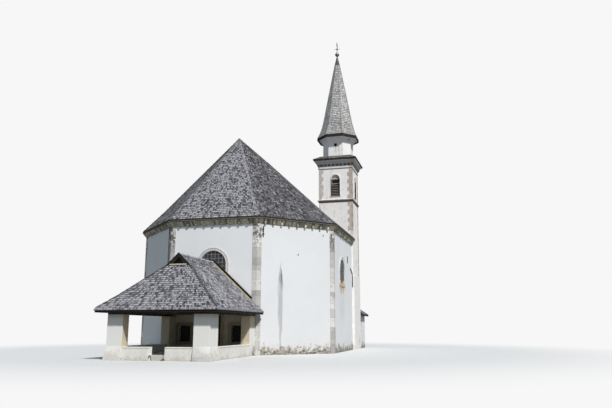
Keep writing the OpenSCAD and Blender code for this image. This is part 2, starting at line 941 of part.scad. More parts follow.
// Fascia boards below the eaves and the barge boards of the gablet
module porch_edge_boards() {
  half = porch_roof_half - 40;
  front = porch_roof_front + 40;
  gz = porch_ridge_z - gablet_h;
  board = 110;
  color(timber_col)
    translate([0, 0, porch_eave_z - fascia_h])
      linear_extrude(fascia_h)
        difference() {
          translate([-half, front])
            square([2 * half, front_y - front]);
          translate([board_t - half, front + board_t])
            square([2 * (half - board_t), through]);
        }
  color(pale_timber_col)
    plate_xz(gablet_y - board_t, board_t)
      difference() {
        polygon([[gablet_half + 20, gz], [0, porch_ridge_z + 25], [-gablet_half - 20, gz]]);
        polygon([[gablet_half - 2 * board, gz + board], [0, porch_ridge_z - 2 * board],
          [2 * board - gablet_half, gz + board]]);
      }
}

// Raised boards where the porch roof meets the front wall
module wall_flashing() {
  reach = front_half - quoin_w;
  low = porch_ridge_z - reach * upper_slope;
  color(timber_col)
    plate_xz(front_y - 60, 60)
      polygon([[0, porch_ridge_z], [reach, low], [reach, low + flashing_h],
        [0, porch_ridge_z + flashing_h], [-reach, low + flashing_h], [-reach, low]]);
}

// Tower

module tower_shaft() {
  color(tower_col)
    difference() {
      union() {
        translate([tower_x1, tower_y1, 0])
          cube([tower_w, tower_w, string_z]);
        translate([tower_x1, tower_y1, 0])
          cube([tower_w + ledge_out, tower_w + ledge_out, ledge_z]);
      }
      translate([tower_x1 + tower_t, tower_y1 + tower_t, -1])
        cube([tower_w - 2 * tower_t, tower_w - 2 * tower_t, string_z + 2]);
    }
}

function tower_ring(out, z) = box_ring(tower_x1, tower_y1, tower_x2, tower_y2, out, z);

module string_course() {
  color(stone_col)
    ring_moulding([tower_ring(-tower_t, string_z), tower_ring(0, string_z),
      tower_ring(string_out * 0.6, string_z + string_h * 0.3),
      tower_ring(string_out, string_z + string_h * 0.4),
      tower_ring(string_out, string_z + string_h * 0.75),
      tower_ring(0, string_z + string_h), tower_ring(-tower_t, string_z + string_h)]);
}

module bell_arch() {
  arch_outline(bell_window_w, belfry_z + bell_window_sill, bell_spring_z);
}

// Children are placed on each of the four tower faces, drawn as if on the front face
module on_tower_faces() {
  for (turn = [0:90:270])
    translate([tower_cx, tower_cy, 0])
      rotate([0, 0, turn])
        translate([0, -tower_w / 2, 0])
          children();
}

module belfry_walls() {
  color(tower_col)
    difference() {
      translate([tower_x1, tower_y1, belfry_z])
        cube([tower_w, tower_w, cornice_z - belfry_z]);
      translate([tower_x1 + tower_t, tower_y1 + tower_t, belfry_z - 1])
        cube([tower_w - 2 * tower_t, tower_w - 2 * tower_t, cornice_z - belfry_z + 2]);
      on_tower_faces()
        plate_xz(-tower_t, 3 * tower_t - 100)
          bell_arch();
    }
}

module belfry_frames() {
  color(stone_col)
    on_tower_faces()
      plate_xz(-35, 35)
        arch_ring_outline(bell_window_w, belfry_z + bell_window_sill, bell_spring_z, bell_frame_w);
}

module belfry_louvres() {
  low = belfry_z + bell_window_sill;
  step = (bell_window_h - 340) / louvre_count;
  color(timber_col)
    on_tower_faces()
      for (k = [0:louvre_count - 1])
        translate([-bell_window_w / 2, louvre_set_in, low + 20 + k * step])
          rotate([30, 0, 0])
            cube([bell_window_w, step * 1.1, 18]);
}

// A stack of quoin blocks at one corner of the tower, long and short by turns
module quoin_stack(turn, low, high) {
  count = floor((high - low) / tower_quoin_h);
  course = (high - low) / count;
  proud = 18;
  translate([tower_cx, tower_cy, 0])
    rotate([0, 0, turn])
      translate([tower_w / 2, -tower_w / 2, low])
        for (k = [0:count - 1]) {
          short = tower_quoin_w * 0.62;
          len_x = k % 2 == 0 ? tower_quoin_w : short;
          len_y = k % 2 == 0 ? short : tower_quoin_w;
          translate([0, 0, k * course])
            linear_extrude(course)
              polygon([[proud, -proud], [proud, len_y], [0, len_y], [0, 0], [-len_x, 0], [-len_x, -proud]]);
        }
}

// The belfry has them on all corners, the shaft on those that stand free of the nave roof
module tower_quoins() {
  color(stone_col) {
    for (turn = [0:90:270])
      quoin_stack(turn, belfry_z, necking_z);
    quoin_stack(0, quoin_foot_z, string_z);
    quoin_stack(90, ledge_z, string_z);
    quoin_stack(180, quoin_foot_z, string_z);
  }
}

// Necking, a recess for the consoles, a cove and a flat fascia under the roof
module tower_cornice() {
  steps = 6;
  recess = 30;
  ledge = necking_z + necking_h + console_h;
  rise = cornice_z - 90 - ledge;
  reach = cornice_out - 30 - console_out;
  color(plaster_col)
    ring_moulding(concat(
      [tower_ring(0, necking_z), tower_ring(35, necking_z), tower_ring(60, necking_z + 45),
       tower_ring(60, necking_z + necking_h), tower_ring(recess, necking_z + necking_h),
       tower_ring(recess, ledge), tower_ring(console_out, ledge)],
      [for (k = [1:steps])
        tower_ring(console_out + reach * (1 - cos(90 * k / steps)), ledge + rise * sin(90 * k / steps))],
      [tower_ring(cornice_out, ledge + rise), tower_ring(cornice_out, cornice_z),
       tower_ring(0, cornice_z)]));
}

// Small consoles in the recess of the cornice, with their lower outer edges cut back
module cornice_consoles() {
  recess = 30;
  spacing = (tower_w - console_w) / (console_count - 1);
  depth = console_out - 15 - recess;
  color(plaster_col)
    on_tower_faces()
      for (k = [0:console_count - 1])
        translate([k * spacing - tower_w / 2, -recess, necking_z + necking_h])
          rotate([90, 0, 90])
            linear_extrude(console_w)
              polygon([[0, 0], [0, console_h], [-depth, console_h], [-depth, console_h * 0.6],
                [-depth * 0.25, 0]]);
}

module skirt_mass(thinner, drop) {
  head = (drum_w - tower_w) / 2 + 40;
  stacked_rings([tower_ring(cornice_out + 60 - thinner, cornice_z - drop),
    tower_ring(cornice_out + 60 - thinner, cornice_z + skirt_edge - drop),
    tower_ring(head - thinner / 2, drum_z - drop)]);
}

// Low roof that leads from the cornice to the drum and carries it
module skirt_roof() {
  color(shingle_col)
    difference() {
      skirt_mass(0, 0);
      skirt_mass(cornice_out / 2, skirt_t);
    }
}

module drum() {
  color(tower_col)
    difference() {
      translate([0, 0, drum_z])
        linear_extrude(spire_z - drum_z)
          difference() {
            polygon([for (p = oct_ring(tower_cx, tower_cy, drum_w, drum_face, 0)) [p[0], p[1]]]);
            polygon([for (p = oct_ring(tower_cx, tower_cy, drum_w - 2 * drum_t, drum_face - drum_t * 0.83, 0)) [p[0], p[1]]]);
          }
      translate([tower_cx, tower_cy, drum_z + drum_h * 0.76])
        for (turn = [0, 90])
          rotate([0, 0, turn])
            rotate([90, 0, 0])
              cylinder(d = drum_hole_d, h = 2 * drum_w, center = true);
    }
}

module spire_cornice() {
  steps = 5;
  reach = spire_eave_w / 2 - 70;
  start = drum_w / 2;
  function cove(k) = start + 40 + (reach - start - 40) * (1 - cos(90 * k / steps));
  function lift(k) = spire_cornice_z + 50 + (spire_cornice_h - 90) * sin(90 * k / steps);
  function blend_face(r) = drum_face + (regular_face(2 * reach) - drum_face) * (r - start) / (reach - start);
  color(plaster_col)
    ring_moulding(concat(
      [oct_ring(tower_cx, tower_cy, 2 * start, drum_face, spire_cornice_z),
       oct_ring(tower_cx, tower_cy, 2 * (start + 40), blend_face(start + 40), spire_cornice_z)],
      [for (k = [0:steps]) oct_ring(tower_cx, tower_cy, 2 * cove(k), blend_face(cove(k)), lift(k))],
      [oct_ring(tower_cx, tower_cy, 2 * reach, blend_face(reach), spire_z),
       oct_ring(tower_cx, tower_cy, 2 * start, drum_face, spire_z)]));
}

// Half width of the spire at a share of its height: a straight taper with a spread foot
function spire_half(t) =
  let (straight = spire_top_w / 2 + (spire_eave_w / 2 * 0.86 - spire_top_w / 2) * (1 - t),
       spread_foot = spire_eave_w / 2 * 0.14)
  straight + spread_foot * pow(max(0, 1 - t / 0.2), 2);

module spire_skin(thinner, low) {
  stations = [0, 0.03, 0.07, 0.12, 0.2, 0.6, 1];
  stacked_rings(concat([oct_ring(tower_cx, tower_cy, spire_eave_w - 2 * thinner,
      regular_face(spire_eave_w - 2 * thinner), spire_z - low)],
    [for (t = stations) let (w = max(2 * (spire_half(t) - thinner), 20))
      oct_ring(tower_cx, tower_cy, w, regular_face(w), spire_z + spire_edge + (spire_h - spire_edge) * t)]));
}

module spire() {
  color(spire_col)
    difference() {
      spire_skin(0, 0);
      translate([0, 0, -spire_t])
        spire_skin(spire_t, 0);
    }
}

module spire_cap() {
  rim = spire_top_w / 2 * 1.12;
  color(metal_col)
    translate([tower_cx, tower_cy, cap_z])
      cylinder(h = cap_h, r1 = rim, r2 = 40);
  color(copper_col)
    translate([tower_cx, tower_cy, ball_z])
      sphere(d = ball_d);
}

// A cross whose arms lie along Y, on a stem with a knop and a thin bar across it
module spire_cross() {
  foot = ball_z + ball_d / 2 - 5;
  knop_z = cross_h * 0.36;
  color(iron_col)
    translate([tower_cx, tower_cy, foot]) {
      translate([-cross_t / 2, -cross_t / 2, 0])
        cube([cross_t, cross_t, cross_h]);
      translate([-cross_t / 2, -cross_w / 2, cross_h * 0.7])
        cube([cross_t, cross_w, cross_t]);
      translate([-cross_w / 2, -cross_t / 4, knop_z - cross_t / 4])
        cube([cross_w, cross_t / 2, cross_t / 2]);
      translate([0, 0, knop_z])
        sphere(d = 140);
    }
}

// Annex

module annex_walls() {
  ridge = annex_h + annex_w / 2 * annex_slope;
  color(plaster_col)
    difference() {
      plate_xz(annex_y1, annex_l)
        polygon([[annex_x1, 0], [annex_x2, 0], [annex_x2, annex_h], [annex_mid, ridge], [annex_x1, annex_h]]);
      translate([annex_x1 + annex_t, annex_y1 - 1, -1])
        cube([annex_w - 2 * annex_t, annex_l - annex_t + 1, through]);
      translate([annex_x2 - 2 * annex_t, annex_window_y, annex_window_sill])
        cube([3 * annex_t, annex_window_w, annex_window_h]);
    }
}

module annex_roof() {
  half = annex_w / 2 + annex_eave_out;
  eave = annex_h - annex_eave_out * annex_slope;
  ridge = annex_h + annex_w / 2 * annex_slope;
  color(shingle_col)
    plate_xz(annex_y1, annex_l + annex_eave_out)
      polygon([[annex_mid - half, eave], [annex_mid, ridge], [annex_mid + half, eave],
        [annex_mid + half, eave + annex_roof_t], [annex_mid, ridge + annex_roof_t],
        [annex_mid - half, eave + annex_roof_t]]);
}

front_wall_left();
front_wall_right();
front_wall_top();
front_right_wall();
right_wall();
rear_right_wall();
rear_wall();
rear_left_wall();
left_wall();
front_left_wall();
corner_quoins();
nave_floor();
roof_plate();
eaves_frieze();
rafter_ends();
nave_roof();
stone_surrounds();
entrance_door();
arch_window_frames();
window_panes();
porch_piers();
bench_walls();
bench_caps();
porch_floor();
porch_beams();
porch_roof_frames();
porch_roof();
porch_edge_boards();
wall_flashing();
tower_shaft();
string_course();
belfry_walls();
belfry_frames();
belfry_louvres();
tower_quoins();
tower_cornice();
cornice_consoles();
skirt_roof();
drum();
spire_cornice();
spire();
spire_cap();
spire_cross();
annex_walls();
annex_roof();
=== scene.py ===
import math
import random

import bmesh
import bpy
from bpy.props import FloatProperty, FloatVectorProperty, IntProperty, PointerProperty
from mathutils import Matrix, Vector


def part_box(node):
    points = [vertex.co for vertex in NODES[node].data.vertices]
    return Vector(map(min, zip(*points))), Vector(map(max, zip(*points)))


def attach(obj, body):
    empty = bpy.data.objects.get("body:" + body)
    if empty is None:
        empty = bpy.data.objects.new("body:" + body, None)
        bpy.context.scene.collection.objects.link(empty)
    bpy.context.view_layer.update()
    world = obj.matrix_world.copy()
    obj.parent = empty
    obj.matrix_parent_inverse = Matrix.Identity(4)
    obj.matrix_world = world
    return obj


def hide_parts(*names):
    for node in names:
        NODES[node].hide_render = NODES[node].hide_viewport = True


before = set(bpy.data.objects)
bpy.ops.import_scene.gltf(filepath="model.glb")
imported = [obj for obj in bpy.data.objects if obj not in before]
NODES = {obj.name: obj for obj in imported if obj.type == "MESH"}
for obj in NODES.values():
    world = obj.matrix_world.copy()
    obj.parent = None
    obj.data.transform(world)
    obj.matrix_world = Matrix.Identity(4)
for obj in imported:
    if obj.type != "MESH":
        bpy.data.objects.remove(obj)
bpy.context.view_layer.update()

bl_info = {
    "name": "Village chapel",
    "version": (1, 0, 0),
    "blender": (4, 5, 0),
    "location": "3D View > Sidebar > Chapel",
    "description": "Dresses the packed frame of a small chapel with its masonry, shingles, timber and metal",
    "category": "Add Mesh",
}

X, Y, Z = Vector((1, 0, 0)), Vector((0, 1, 0)), Vector((0, 0, 1))


def low(node):
    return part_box(node)[0]


def high(node):
    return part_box(node)[1]


# Places that several pieces share, read from the frame

WALL_X = high("rear_wall").x + (high("front_right_wall").x - high("front_wall_top").x)
WALL_Y = high("rear_wall").y
CORNER = WALL_X - high("front_wall_top").x
WALL_TOP = high("front_wall_top").z
EAVE_OUT = high("nave_roof").y - WALL_Y
ROOF_EDGE = WALL_TOP + 0.10
RIDGE_Z = high("nave_roof").z
RIDGE_HALF = max(v.co.y for v in NODES["nave_roof"].data.vertices if v.co.z > RIDGE_Z - 0.001)
TOWER_LOW, TOWER_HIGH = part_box("belfry_walls")
TOWER_MID = (TOWER_LOW + TOWER_HIGH) / 2
TOWER_FOOT = Vector((TOWER_MID.x, TOWER_MID.y, 0))
TOWER_HALF = (TOWER_HIGH.x - TOWER_LOW.x) / 2
PORCH_LOW, PORCH_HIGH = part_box("porch_roof")
PORCH_HALF = high("bench_walls").x
PORCH_FRONT = low("bench_walls").y - 0.04
SIDE_WINDOW_Y = -0.6
ARCH_BAND = 0.21
EIGHTH = math.radians(22.5)
BACKDROP = 0.93


def nave_corner(i, out=0.0):
    """Corner of the nave outline moved out by a distance, counted from the right front corner and turning left"""
    leg = CORNER + out * (2 - math.sqrt(2))
    w, l = WALL_X + out, WALL_Y + out
    outline = [(w, leg - l), (w, l - leg), (w - leg, l), (leg - w, l),
               (-w, l - leg), (-w, leg - l), (leg - w, -l), (w - leg, -l)]
    return Vector((*outline[i % 8], 0))


# Sizes and colours that a user would change

def length(name, text, value, low_end, high_end):
    return FloatProperty(name=name, description=text, default=value, min=low_end, max=high_end, unit="LENGTH")


def colour(name, text, *value):
    return FloatVectorProperty(name=name, description=text, subtype="COLOR", size=3, default=value, min=0, max=1)


class ChapelSizes(bpy.types.PropertyGroup):
    nave_course: length("Nave course", "Height that shows of a course of shingles on the nave roof", 0.16, 0.1, 0.3)
    porch_course: length("Porch course", "Height that shows of a course on the porch roof", 0.165, 0.1, 0.3)
    spire_course: length("Spire course", "Height that shows of a course on the spire", 0.17, 0.1, 0.3)
    shingle_width: length("Shingle width", "Mean width of a shingle", 0.092, 0.08, 0.25)
    shingle_thickness: length("Shingle thickness", "Thickness of the lower end of a shingle", 0.024, 0.01, 0.05)
    quoin_block: length("Quoin height", "Mean height of a stone in the corner strips", 0.45, 0.2, 0.9)
    soffit_board: length("Eaves board", "Width of the boards under the eaves", 0.13, 0.08, 0.3)
    bar: length("Window bar", "Thickness of the bars in the round-headed windows", 0.03, 0.01, 0.06)
    grille_bar: length("Grille bar", "Thickness of the iron bars in the small windows", 0.024, 0.01, 0.05)
    arch_panes: IntProperty(name="Panes", description="Panes across an arched window", default=7, min=3, max=12)


class ChapelColours(bpy.types.PropertyGroup):
    plaster: colour("Plaster", "Lime plaster of the nave and the porch", 0.86, 0.87, 0.885)
    tower: colour("Tower plaster", "Weathered plaster of the tower", 0.95, 0.925, 0.90)
    bench: colour("Bench plaster", "Plaster of the low porch walls", 0.90, 0.875, 0.82)
    stone: colour("Stone", "Corner strips and window frames", 0.72, 0.70, 0.665)
    paving: colour("Paving", "Floor slabs", 0.42, 0.39, 0.34)
    shingle: colour("Shingles", "Weathered shingles of the nave and the porch", 0.235, 0.232, 0.252)
    spire_shingle: colour("Spire shingles", "Weathered shingles of the spire", 0.48, 0.47, 0.465)
    dark_wood: colour("Dark timber", "Timbers, doors and louvres", 0.10, 0.075, 0.055)
    soffit: colour("Eaves boards", "Boards under the eaves", 0.40, 0.365, 0.27)
    pale_wood: colour("Pale timber", "Rafter ends and barge boards", 0.60, 0.55, 0.45)
    glass: colour("Glass", "Panes with their leading", 0.06, 0.057, 0.06)
    copper: colour("Copper", "Ball on the spire", 0.42, 0.27, 0.19)
    zinc: colour("Sheet metal", "Cap of the spire and flashings", 0.34, 0.34, 0.36)
    iron: colour("Iron", "Cross, grilles and door fittings", 0.035, 0.035, 0.038)


# Materials

class Finish:
    """A material under construction. skin is its colour so far and relief its bumps so far."""

    def __init__(self, name, roughness=0.85, metallic=0.0):
        self.material = bpy.data.materials.new(name)
        self.material.use_nodes = True
        self.tree = self.material.node_tree
        self.shader = self.tree.nodes["Principled BSDF"]
        self.shader.inputs["Roughness"].default_value = roughness
        self.shader.inputs["Metallic"].default_value = metallic
        self.place = self.add("ShaderNodeTexCoord").outputs["Object"]
        self.skin = self.relief = None

    def add(self, kind, sockets=None, **settings):
        node = self.tree.nodes.new(kind)
        for key, value in settings.items():
            setattr(node, key, value)
        for key, value in (sockets or {}).items():
            self.feed(node.inputs[key], value)
        return node

    def feed(self, socket, value):
        if isinstance(value, bpy.types.NodeSocket):
            self.tree.links.new(value, socket)
        elif socket.type == "RGBA" and len(value) == 3:
            socket.default_value = (*value, 1)
        else:
            socket.default_value = value

    def own_tone(self):
        return self.add("ShaderNodeAttribute", attribute_name="tone").outputs["Fac"]

    def stretch(self, scale, vector=None):
        node = self.add("ShaderNodeMapping", {"Vector": vector or self.place})
        node.inputs["Scale"].default_value = scale
        return node.outputs["Vector"]

    def noise(self, scale, detail=4.0, rough=0.6, stretch=None, vector=None):
        place = self.stretch(stretch, vector) if stretch else self.place
        return self.add("ShaderNodeTexNoise", {"Vector": place, "Scale": scale, "Detail": detail,
                                               "Roughness": rough}).outputs["Fac"]

    def cells(self, scale, vector=None, feature="F1", output="Distance"):
        return self.add("ShaderNodeTexVoronoi", {"Vector": vector or self.place, "Scale": scale},
                        feature=feature).outputs[output]

    def span(self, value, start, end, low_value=0.0, high_value=1.0):
        return self.add("ShaderNodeMapRange", {"Value": value, "From Min": start, "From Max": end,
                                               "To Min": low_value, "To Max": high_value},
                        interpolation_type="SMOOTHSTEP").outputs["Result"]

    def calc(self, operation, a, b):
        node = self.add("ShaderNodeMath", operation=operation)
        self.feed(node.inputs[0], a)
        self.feed(node.inputs[1], b)
        return node.outputs[0]

    def times(self, product, *factors):
        for factor in factors:
            product = self.calc("MULTIPLY", product, factor)
        return product

    def off(self, value, middle=0.0):
        """Distance of a value from a middle"""
        return self.calc("ABSOLUTE", self.calc("SUBTRACT", value, middle), 0.0)

    def axis(self, name, vector=None):
        return self.add("ShaderNodeSeparateXYZ", {"Vector": vector or self.place}).outputs[name]

    def band(self, name, start, end, low_value=0.0, high_value=1.0):
        """A step along one axis"""
        return self.span(self.axis(name), start, end, low_value, high_value)

    def ragged(self, scale, detail, tall, swing):
        """The height above the ground, made uneven"""
        uneven = self.span(self.noise(scale, detail, 0.7, (1, 1, tall)), 0.2, 0.8, -swing, swing)
        return self.calc("ADD", self.axis("Z"), uneven)

    def mix(self, factor, a, b, blend="MIX"):
        node = self.add("ShaderNodeMix", data_type="RGBA", blend_type=blend, clamp_factor=True)
        for socket, value in ((0, factor), (6, a), (7, b)):
            self.feed(node.inputs[socket], value)
        return node.outputs[2]

    def shade(self, factor, dark, light, base):
        """The base colour times a grey that runs from dark to light"""
        grey = self.add("ShaderNodeCombineXYZ")
        amount = self.span(factor, 0.0, 1.0, dark, light)
        for i in range(3):
            self.feed(grey.inputs[i], amount)
        return self.mix(1.0, base, grey.outputs[0], "MULTIPLY")

    def coat(self, amount, colour):
        self.skin = self.mix(amount, self.skin, colour)

    def blot(self, pattern, start, end, most, colour):
        """A coat where a pattern is strong"""
        self.coat(self.span(pattern, start, end, 0.0, most), colour)

    def bump(self, height, strength, distance):
        sockets = {"Height": height, "Strength": strength, "Distance": distance}
        if self.relief is not None:
            sockets["Normal"] = self.relief
        self.relief = self.add("ShaderNodeBump", sockets).outputs["Normal"]

    def done(self, roughness=None):
        for name, value in (("Base Color", self.skin), ("Normal", self.relief), ("Roughness", roughness)):
            if value is not None:
                self.feed(self.shader.inputs[name], value)
        return self.material


def darker(base, factor, warm=0.0):
    return (base[0] * factor * (1 + warm), base[1] * factor, base[2] * factor * (1 - warm))


def lime_coat(f, base):
    """Faint mottling and lumps of smooth lime plaster. Returns the fine pattern."""
    f.skin = f.shade(f.span(f.noise(0.35, 5), 0.3, 0.7), 0.965, 1.0, base)
    fine = f.noise(7, 6, 0.7)
    f.blot(fine, 0.62, 0.8, 0.16, darker(base, 0.88, 0.03))
    f.bump(f.noise(2.2, 3, 0.5), 0.25, 0.02)
    f.bump(f.noise(45, 4, 0.7), 0.22, 0.006)
    return fine


def splashed_foot(f, ragged, ends, least, dark, light, *amounts):
    """Earth splashed on the foot of a wall"""
    sparse = f.span(f.noise(3.5, 5, 0.7, (1, 1, 0.7)), 0.45, 0.58, least, 1.0)
    earth = f.mix(f.span(f.noise(3.2, 6, 0.75), 0.35, 0.65), dark, light)
    f.coat(f.times(f.span(ragged, *ends), sparse, *amounts), earth)


def earthy_foot(f, ragged):
    """Dark earth and bare stones in the lowest hand's breadth of a wall"""
    stones = f.span(f.noise(4.5, 6, 0.7, (1, 1, 1.8)), 0.36, 0.48)
    bare = f.mix(f.span(f.noise(9), 0.4, 0.6), (0.09, 0.085, 0.075), (0.42, 0.39, 0.33))
    return f.mix(f.times(f.span(ragged, 0.55, 0.12), stones), f.skin, bare)


def ochre_and_painted_shade_in_porch(f, fine):
    """The warmer and older coat on what the porch roof covers, darkened as painted shade of the roof, with a stain
    and painted shade in a band just under the roof
    """
    lean = f.times(f.band("Y", -8.8, -8.7, 0.0, -0.06), f.band("Z", 1.5, 1.9))
    across = f.calc("ADD", f.off(f.axis("X")), lean)
    inside = f.times(f.span(across, PORCH_HALF - 0.01, PORCH_HALF - 0.03),
                     f.band("Y", PORCH_FRONT + 0.01, PORCH_FRONT + 0.03), f.band("Z", 3.3, 3.2),
                     f.band("Y", -WALL_Y + 0.3, -WALL_Y + 0.2), 0.85)
    # Painted shade with an ochre coat: what the porch roof covers is darker and warmer
    f.coat(inside, f.mix(f.span(fine, 0.3, 0.7), (0.58, 0.48, 0.30), (0.72, 0.62, 0.43)))
    # Painted shade with a stain: a browner band just under the porch roof
    stain_and_painted_shade = f.times(f.band("Z", 2.05, 2.35), f.band("Y", -WALL_Y - 0.3, -WALL_Y - 0.4), 0.6)
    f.coat(stain_and_painted_shade, (0.52, 0.43, 0.25))


def stains_below_windows(f, height):
    """Rust and grey runs under the sills of the two side windows"""
    near = f.times(f.span(f.off(f.axis("Y"), SIDE_WINDOW_Y), 1.05, 0.7),
                   f.span(f.off(f.axis("X")), WALL_X - 0.1, WALL_X - 0.05))
    rust = f.times(f.span(f.ragged(3.0, 5, 0.3, 0.45), 3.9, 4.4), f.span(height, 4.96, 4.93))
    f.coat(f.times(near, rust, 0.75), (0.58, 0.36, 0.14))
    runs = f.span(f.noise(5.0, 4, 0.6, (1, 1, 0.05)), 0.5, 0.62)
    f.coat(f.times(runs, f.span(height, 1.2, 3.4), f.span(height, 4.96, 4.5), near, 0.4), (0.45, 0.45, 0.44))


def trowelled_plaster(base, name="trowelled_plaster"):
    """Smooth lime plaster with faint mottling, a damp foot splashed with earth, runs below the eaves, and an ochre
    coat with painted shade under the porch roof
    """
    f = Finish(name, 0.9)
    fine = lime_coat(f, base)
    f.blot(f.noise(1.6, 5, 0.65, (1, 1, 0.07)), 0.58, 0.8, 0.14, darker(base, 0.80, 0.02))
    ragged = f.ragged(1.9, 6, 1.4, 0.38)
    ahead = f.band("Y", -WALL_Y - 0.6, -WALL_Y - 0.3, 0.25, 1.0)
    splashed_foot(f, ragged, (0.75, 0.05), 0.25, (0.50, 0.36, 0.20), (0.66, 0.58, 0.46), ahead, 0.85)
    f.coat(ahead, earthy_foot(f, ragged))
    ochre_and_painted_shade_in_porch(f, fine)
    stains_below_windows(f, f.axis("Z"))
    return f.done(f.span(fine, 0.3, 0.7, 0.82, 0.96))


def streaked_plaster(base):
    """The same plaster on the sunny diagonal wall, on a darker base that is painted shade, with one long grey
    streak with a mossy foot
    """
    f = Finish("streaked_plaster", 0.9)
    height = f.axis("Z")
    fine = lime_coat(f, base)
    along = f.times(f.calc("ADD", f.axis("X"), f.axis("Y")), 0.70711)
    wander = f.span(f.noise(0.9, 4, 0.6, (0, 0, 1)), 0.2, 0.8, -0.06, 0.06)
    width = f.times(f.span(height, 5.95, 4.2, 0.015, 0.2), f.span(height, 0.6, 2.8, 0.35, 1.0))
    inside = f.span(f.calc("DIVIDE", f.off(f.calc("ADD", along, wander), -1.63), width), 1.15, 0.5)
    fade = f.times(f.span(height, 5.95, 5.4), f.span(height, 3.8, 5.0, 0.42, 1.0))
    grain = f.span(f.noise(9, 5, 0.7, (1, 1, 0.05)), 0.35, 0.58, 0.25, 1.0)
    f.coat(f.times(inside, fade, grain, 0.95), (0.07, 0.075, 0.085))
    ragged = f.ragged(3.2, 6, 1.2, 0.42)
    splashed_foot(f, ragged, (0.85, 0.1), 0.2, (0.52, 0.37, 0.20), (0.70, 0.60, 0.45), 0.8)
    f.coat(0.95, earthy_foot(f, ragged))
    return f.done(f.span(fine, 0.3, 0.7, 0.82, 0.96))


def bench_plaster(base):
    """Rough plaster of the low walls, worn by feet and grey at the ground"""
    f = Finish("bench_plaster", 0.92)
    blotch = f.noise(2.0, 7, 0.7)
    f.skin = f.shade(f.span(blotch, 0.3, 0.7), 0.92, 1.02, base)
    f.blot(f.noise(14, 6, 0.75), 0.55, 0.75, 0.35, darker(base, 0.75, 0.03))
    foot = f.span(f.calc("ADD", f.axis("Z"), f.span(blotch, 0.2, 0.8, -0.2, 0.2)), 0.22, 0.0)
    f.coat(f.times(foot, 0.4), (0.50, 0.43, 0.32))
    f.bump(f.noise(9, 5, 0.65), 0.5, 0.02)
    f.bump(f.noise(60, 3, 0.7), 0.3, 0.006)
    return f.done()


def tower_edges(f, inner, outer):
    """Two steps, across and along, that are both full only at the tower's corners"""
    return [f.span(f.off(f.axis(name), middle), TOWER_HALF - inner, TOWER_HALF - outer)
            for name, middle in (("X", TOWER_MID.x), ("Y", TOWER_MID.y))]


def weathered_plaster(base, name="weathered_plaster", shade_bands=()):
    """Old plaster of the tower: pale, with flaked grey patches, runs and rusty corners. The last argument
    lists (low, high, colour) of painted shade on the parts of a moulding that lie in shade."""
    f = Finish(name, 0.92)
    height = f.axis("Z")
    fine = f.noise(12, 6, 0.75)
    f.skin = f.shade(f.span(f.noise(1.1, 7, 0.7), 0.3, 0.7), 0.93, 1.0, base)
    f.blot(fine, 0.55, 0.75, 0.3, darker(base, 0.7, 0.04))
    runs = f.noise(3.0, 6, 0.7, (1, 1, 0.16))
    f.coat(f.times(f.span(runs, 0.55, 0.66), f.span(f.noise(0.8), 0.46, 0.58), 0.75), darker(base, 0.42, 0.04))
    corner = f.times(*tower_edges(f, 0.5, 0.0), f.span(height, 8.5, 9.5))
    rust = f.span(f.noise(2.1, 6, 0.7, (1, 1, 0.3)), 0.46, 0.62)
    f.coat(f.times(rust, corner, 0.8), (0.50, 0.32, 0.17))
    # Painted shade on each listed band of a moulding
    for low_z, high_z, shade in shade_bands:
        inside = f.times(f.span(height, low_z - 0.01, low_z + 0.01), f.span(height, high_z + 0.01, high_z - 0.01))
        f.coat(f.times(inside, 0.9), shade)
    f.bump(f.noise(6, 5, 0.65), 0.4, 0.03)
    f.bump(f.noise(50, 4, 0.7), 0.3, 0.008)
    return f.done(f.span(fine, 0.3, 0.7, 0.85, 0.98))


def cornice_plaster_with_painted_shade(base):
    """The tower's plaster with the pale courses of its cornice, dark and grey courses of painted shade under the
    cornice, between its consoles, on its cove and under the skirt's edge, and a dark brown band on the string
    course that is partly its own colour and partly painted shade
    """
    cornice, string = low("tower_cornice").z, low("string_course").z
    return weathered_plaster(base, "cornice", [
        # Painted shade under the cornice, between its consoles, on its cove and under the skirt's edge; on the
        # string course, painted shade with its own dark brown
        (high("belfry_frames").z, cornice + 0.03, (0.2, 0.18, 0.16)),
        (cornice + 0.22, cornice + 0.39, (0.10, 0.09, 0.085)),
        (cornice + 0.42, cornice + 0.64, (0.50, 0.49, 0.47)),
        (cornice + 0.66, cornice + 0.8, (0.06, 0.045, 0.035)),
        (string - 0.02, string + 0.21, (0.085, 0.055, 0.035))])


def cut_stone(base, name="cut_stone", lichen=0.6, crusted=0.0, rusty=0.0):
    """Grey-beige blocks that differ from one another, with pits, dark crusts and ochre stains"""
    f = Finish(name, 0.9)
    speckle = f.noise(16, 7, 0.75)
    f.skin = f.shade(f.own_tone(), 0.45, 1.45, base)
    f.blot(speckle, 0.35, 0.7, 0.7, darker(base, 0.50))
    f.blot(f.noise(2.6, 7, 0.7), 0.56, 0.70, lichen, darker(base, 0.25, 0.08))
    f.blot(f.noise(1.7, 5), 0.58, 0.75, 0.5, (0.62, 0.47, 0.28))
    f.coat(f.times(f.band("Z", 6.4, 7.3), f.span(f.noise(4.0), 0.48, 0.52), crusted), (0.06, 0.055, 0.05))
    rust = f.times(*tower_edges(f, 0.10, 0.06), f.span(f.noise(2.4, 5), 0.42, 0.54),
                   f.band("X", TOWER_MID.x, TOWER_MID.x + 0.5), rusty)
    f.coat(rust, (0.48, 0.27, 0.12))
    if name == "frame_stone":
        foot = low("arch_window_frames").z
        sill = f.times(f.band("Z", foot + 0.24, foot + 0.2), f.band("Z", foot - 0.02, foot - 0.01))
        f.coat(sill, f.mix(f.span(f.noise(6, 5, 0.7), 0.44, 0.52), (0.74, 0.72, 0.69), (0.55, 0.34, 0.15)))
    f.bump(speckle, 0.6, 0.015)
    f.bump(f.cells(30), 0.25, 0.008)
    return f.done(f.span(speckle, 0.3, 0.7, 0.8, 0.98))


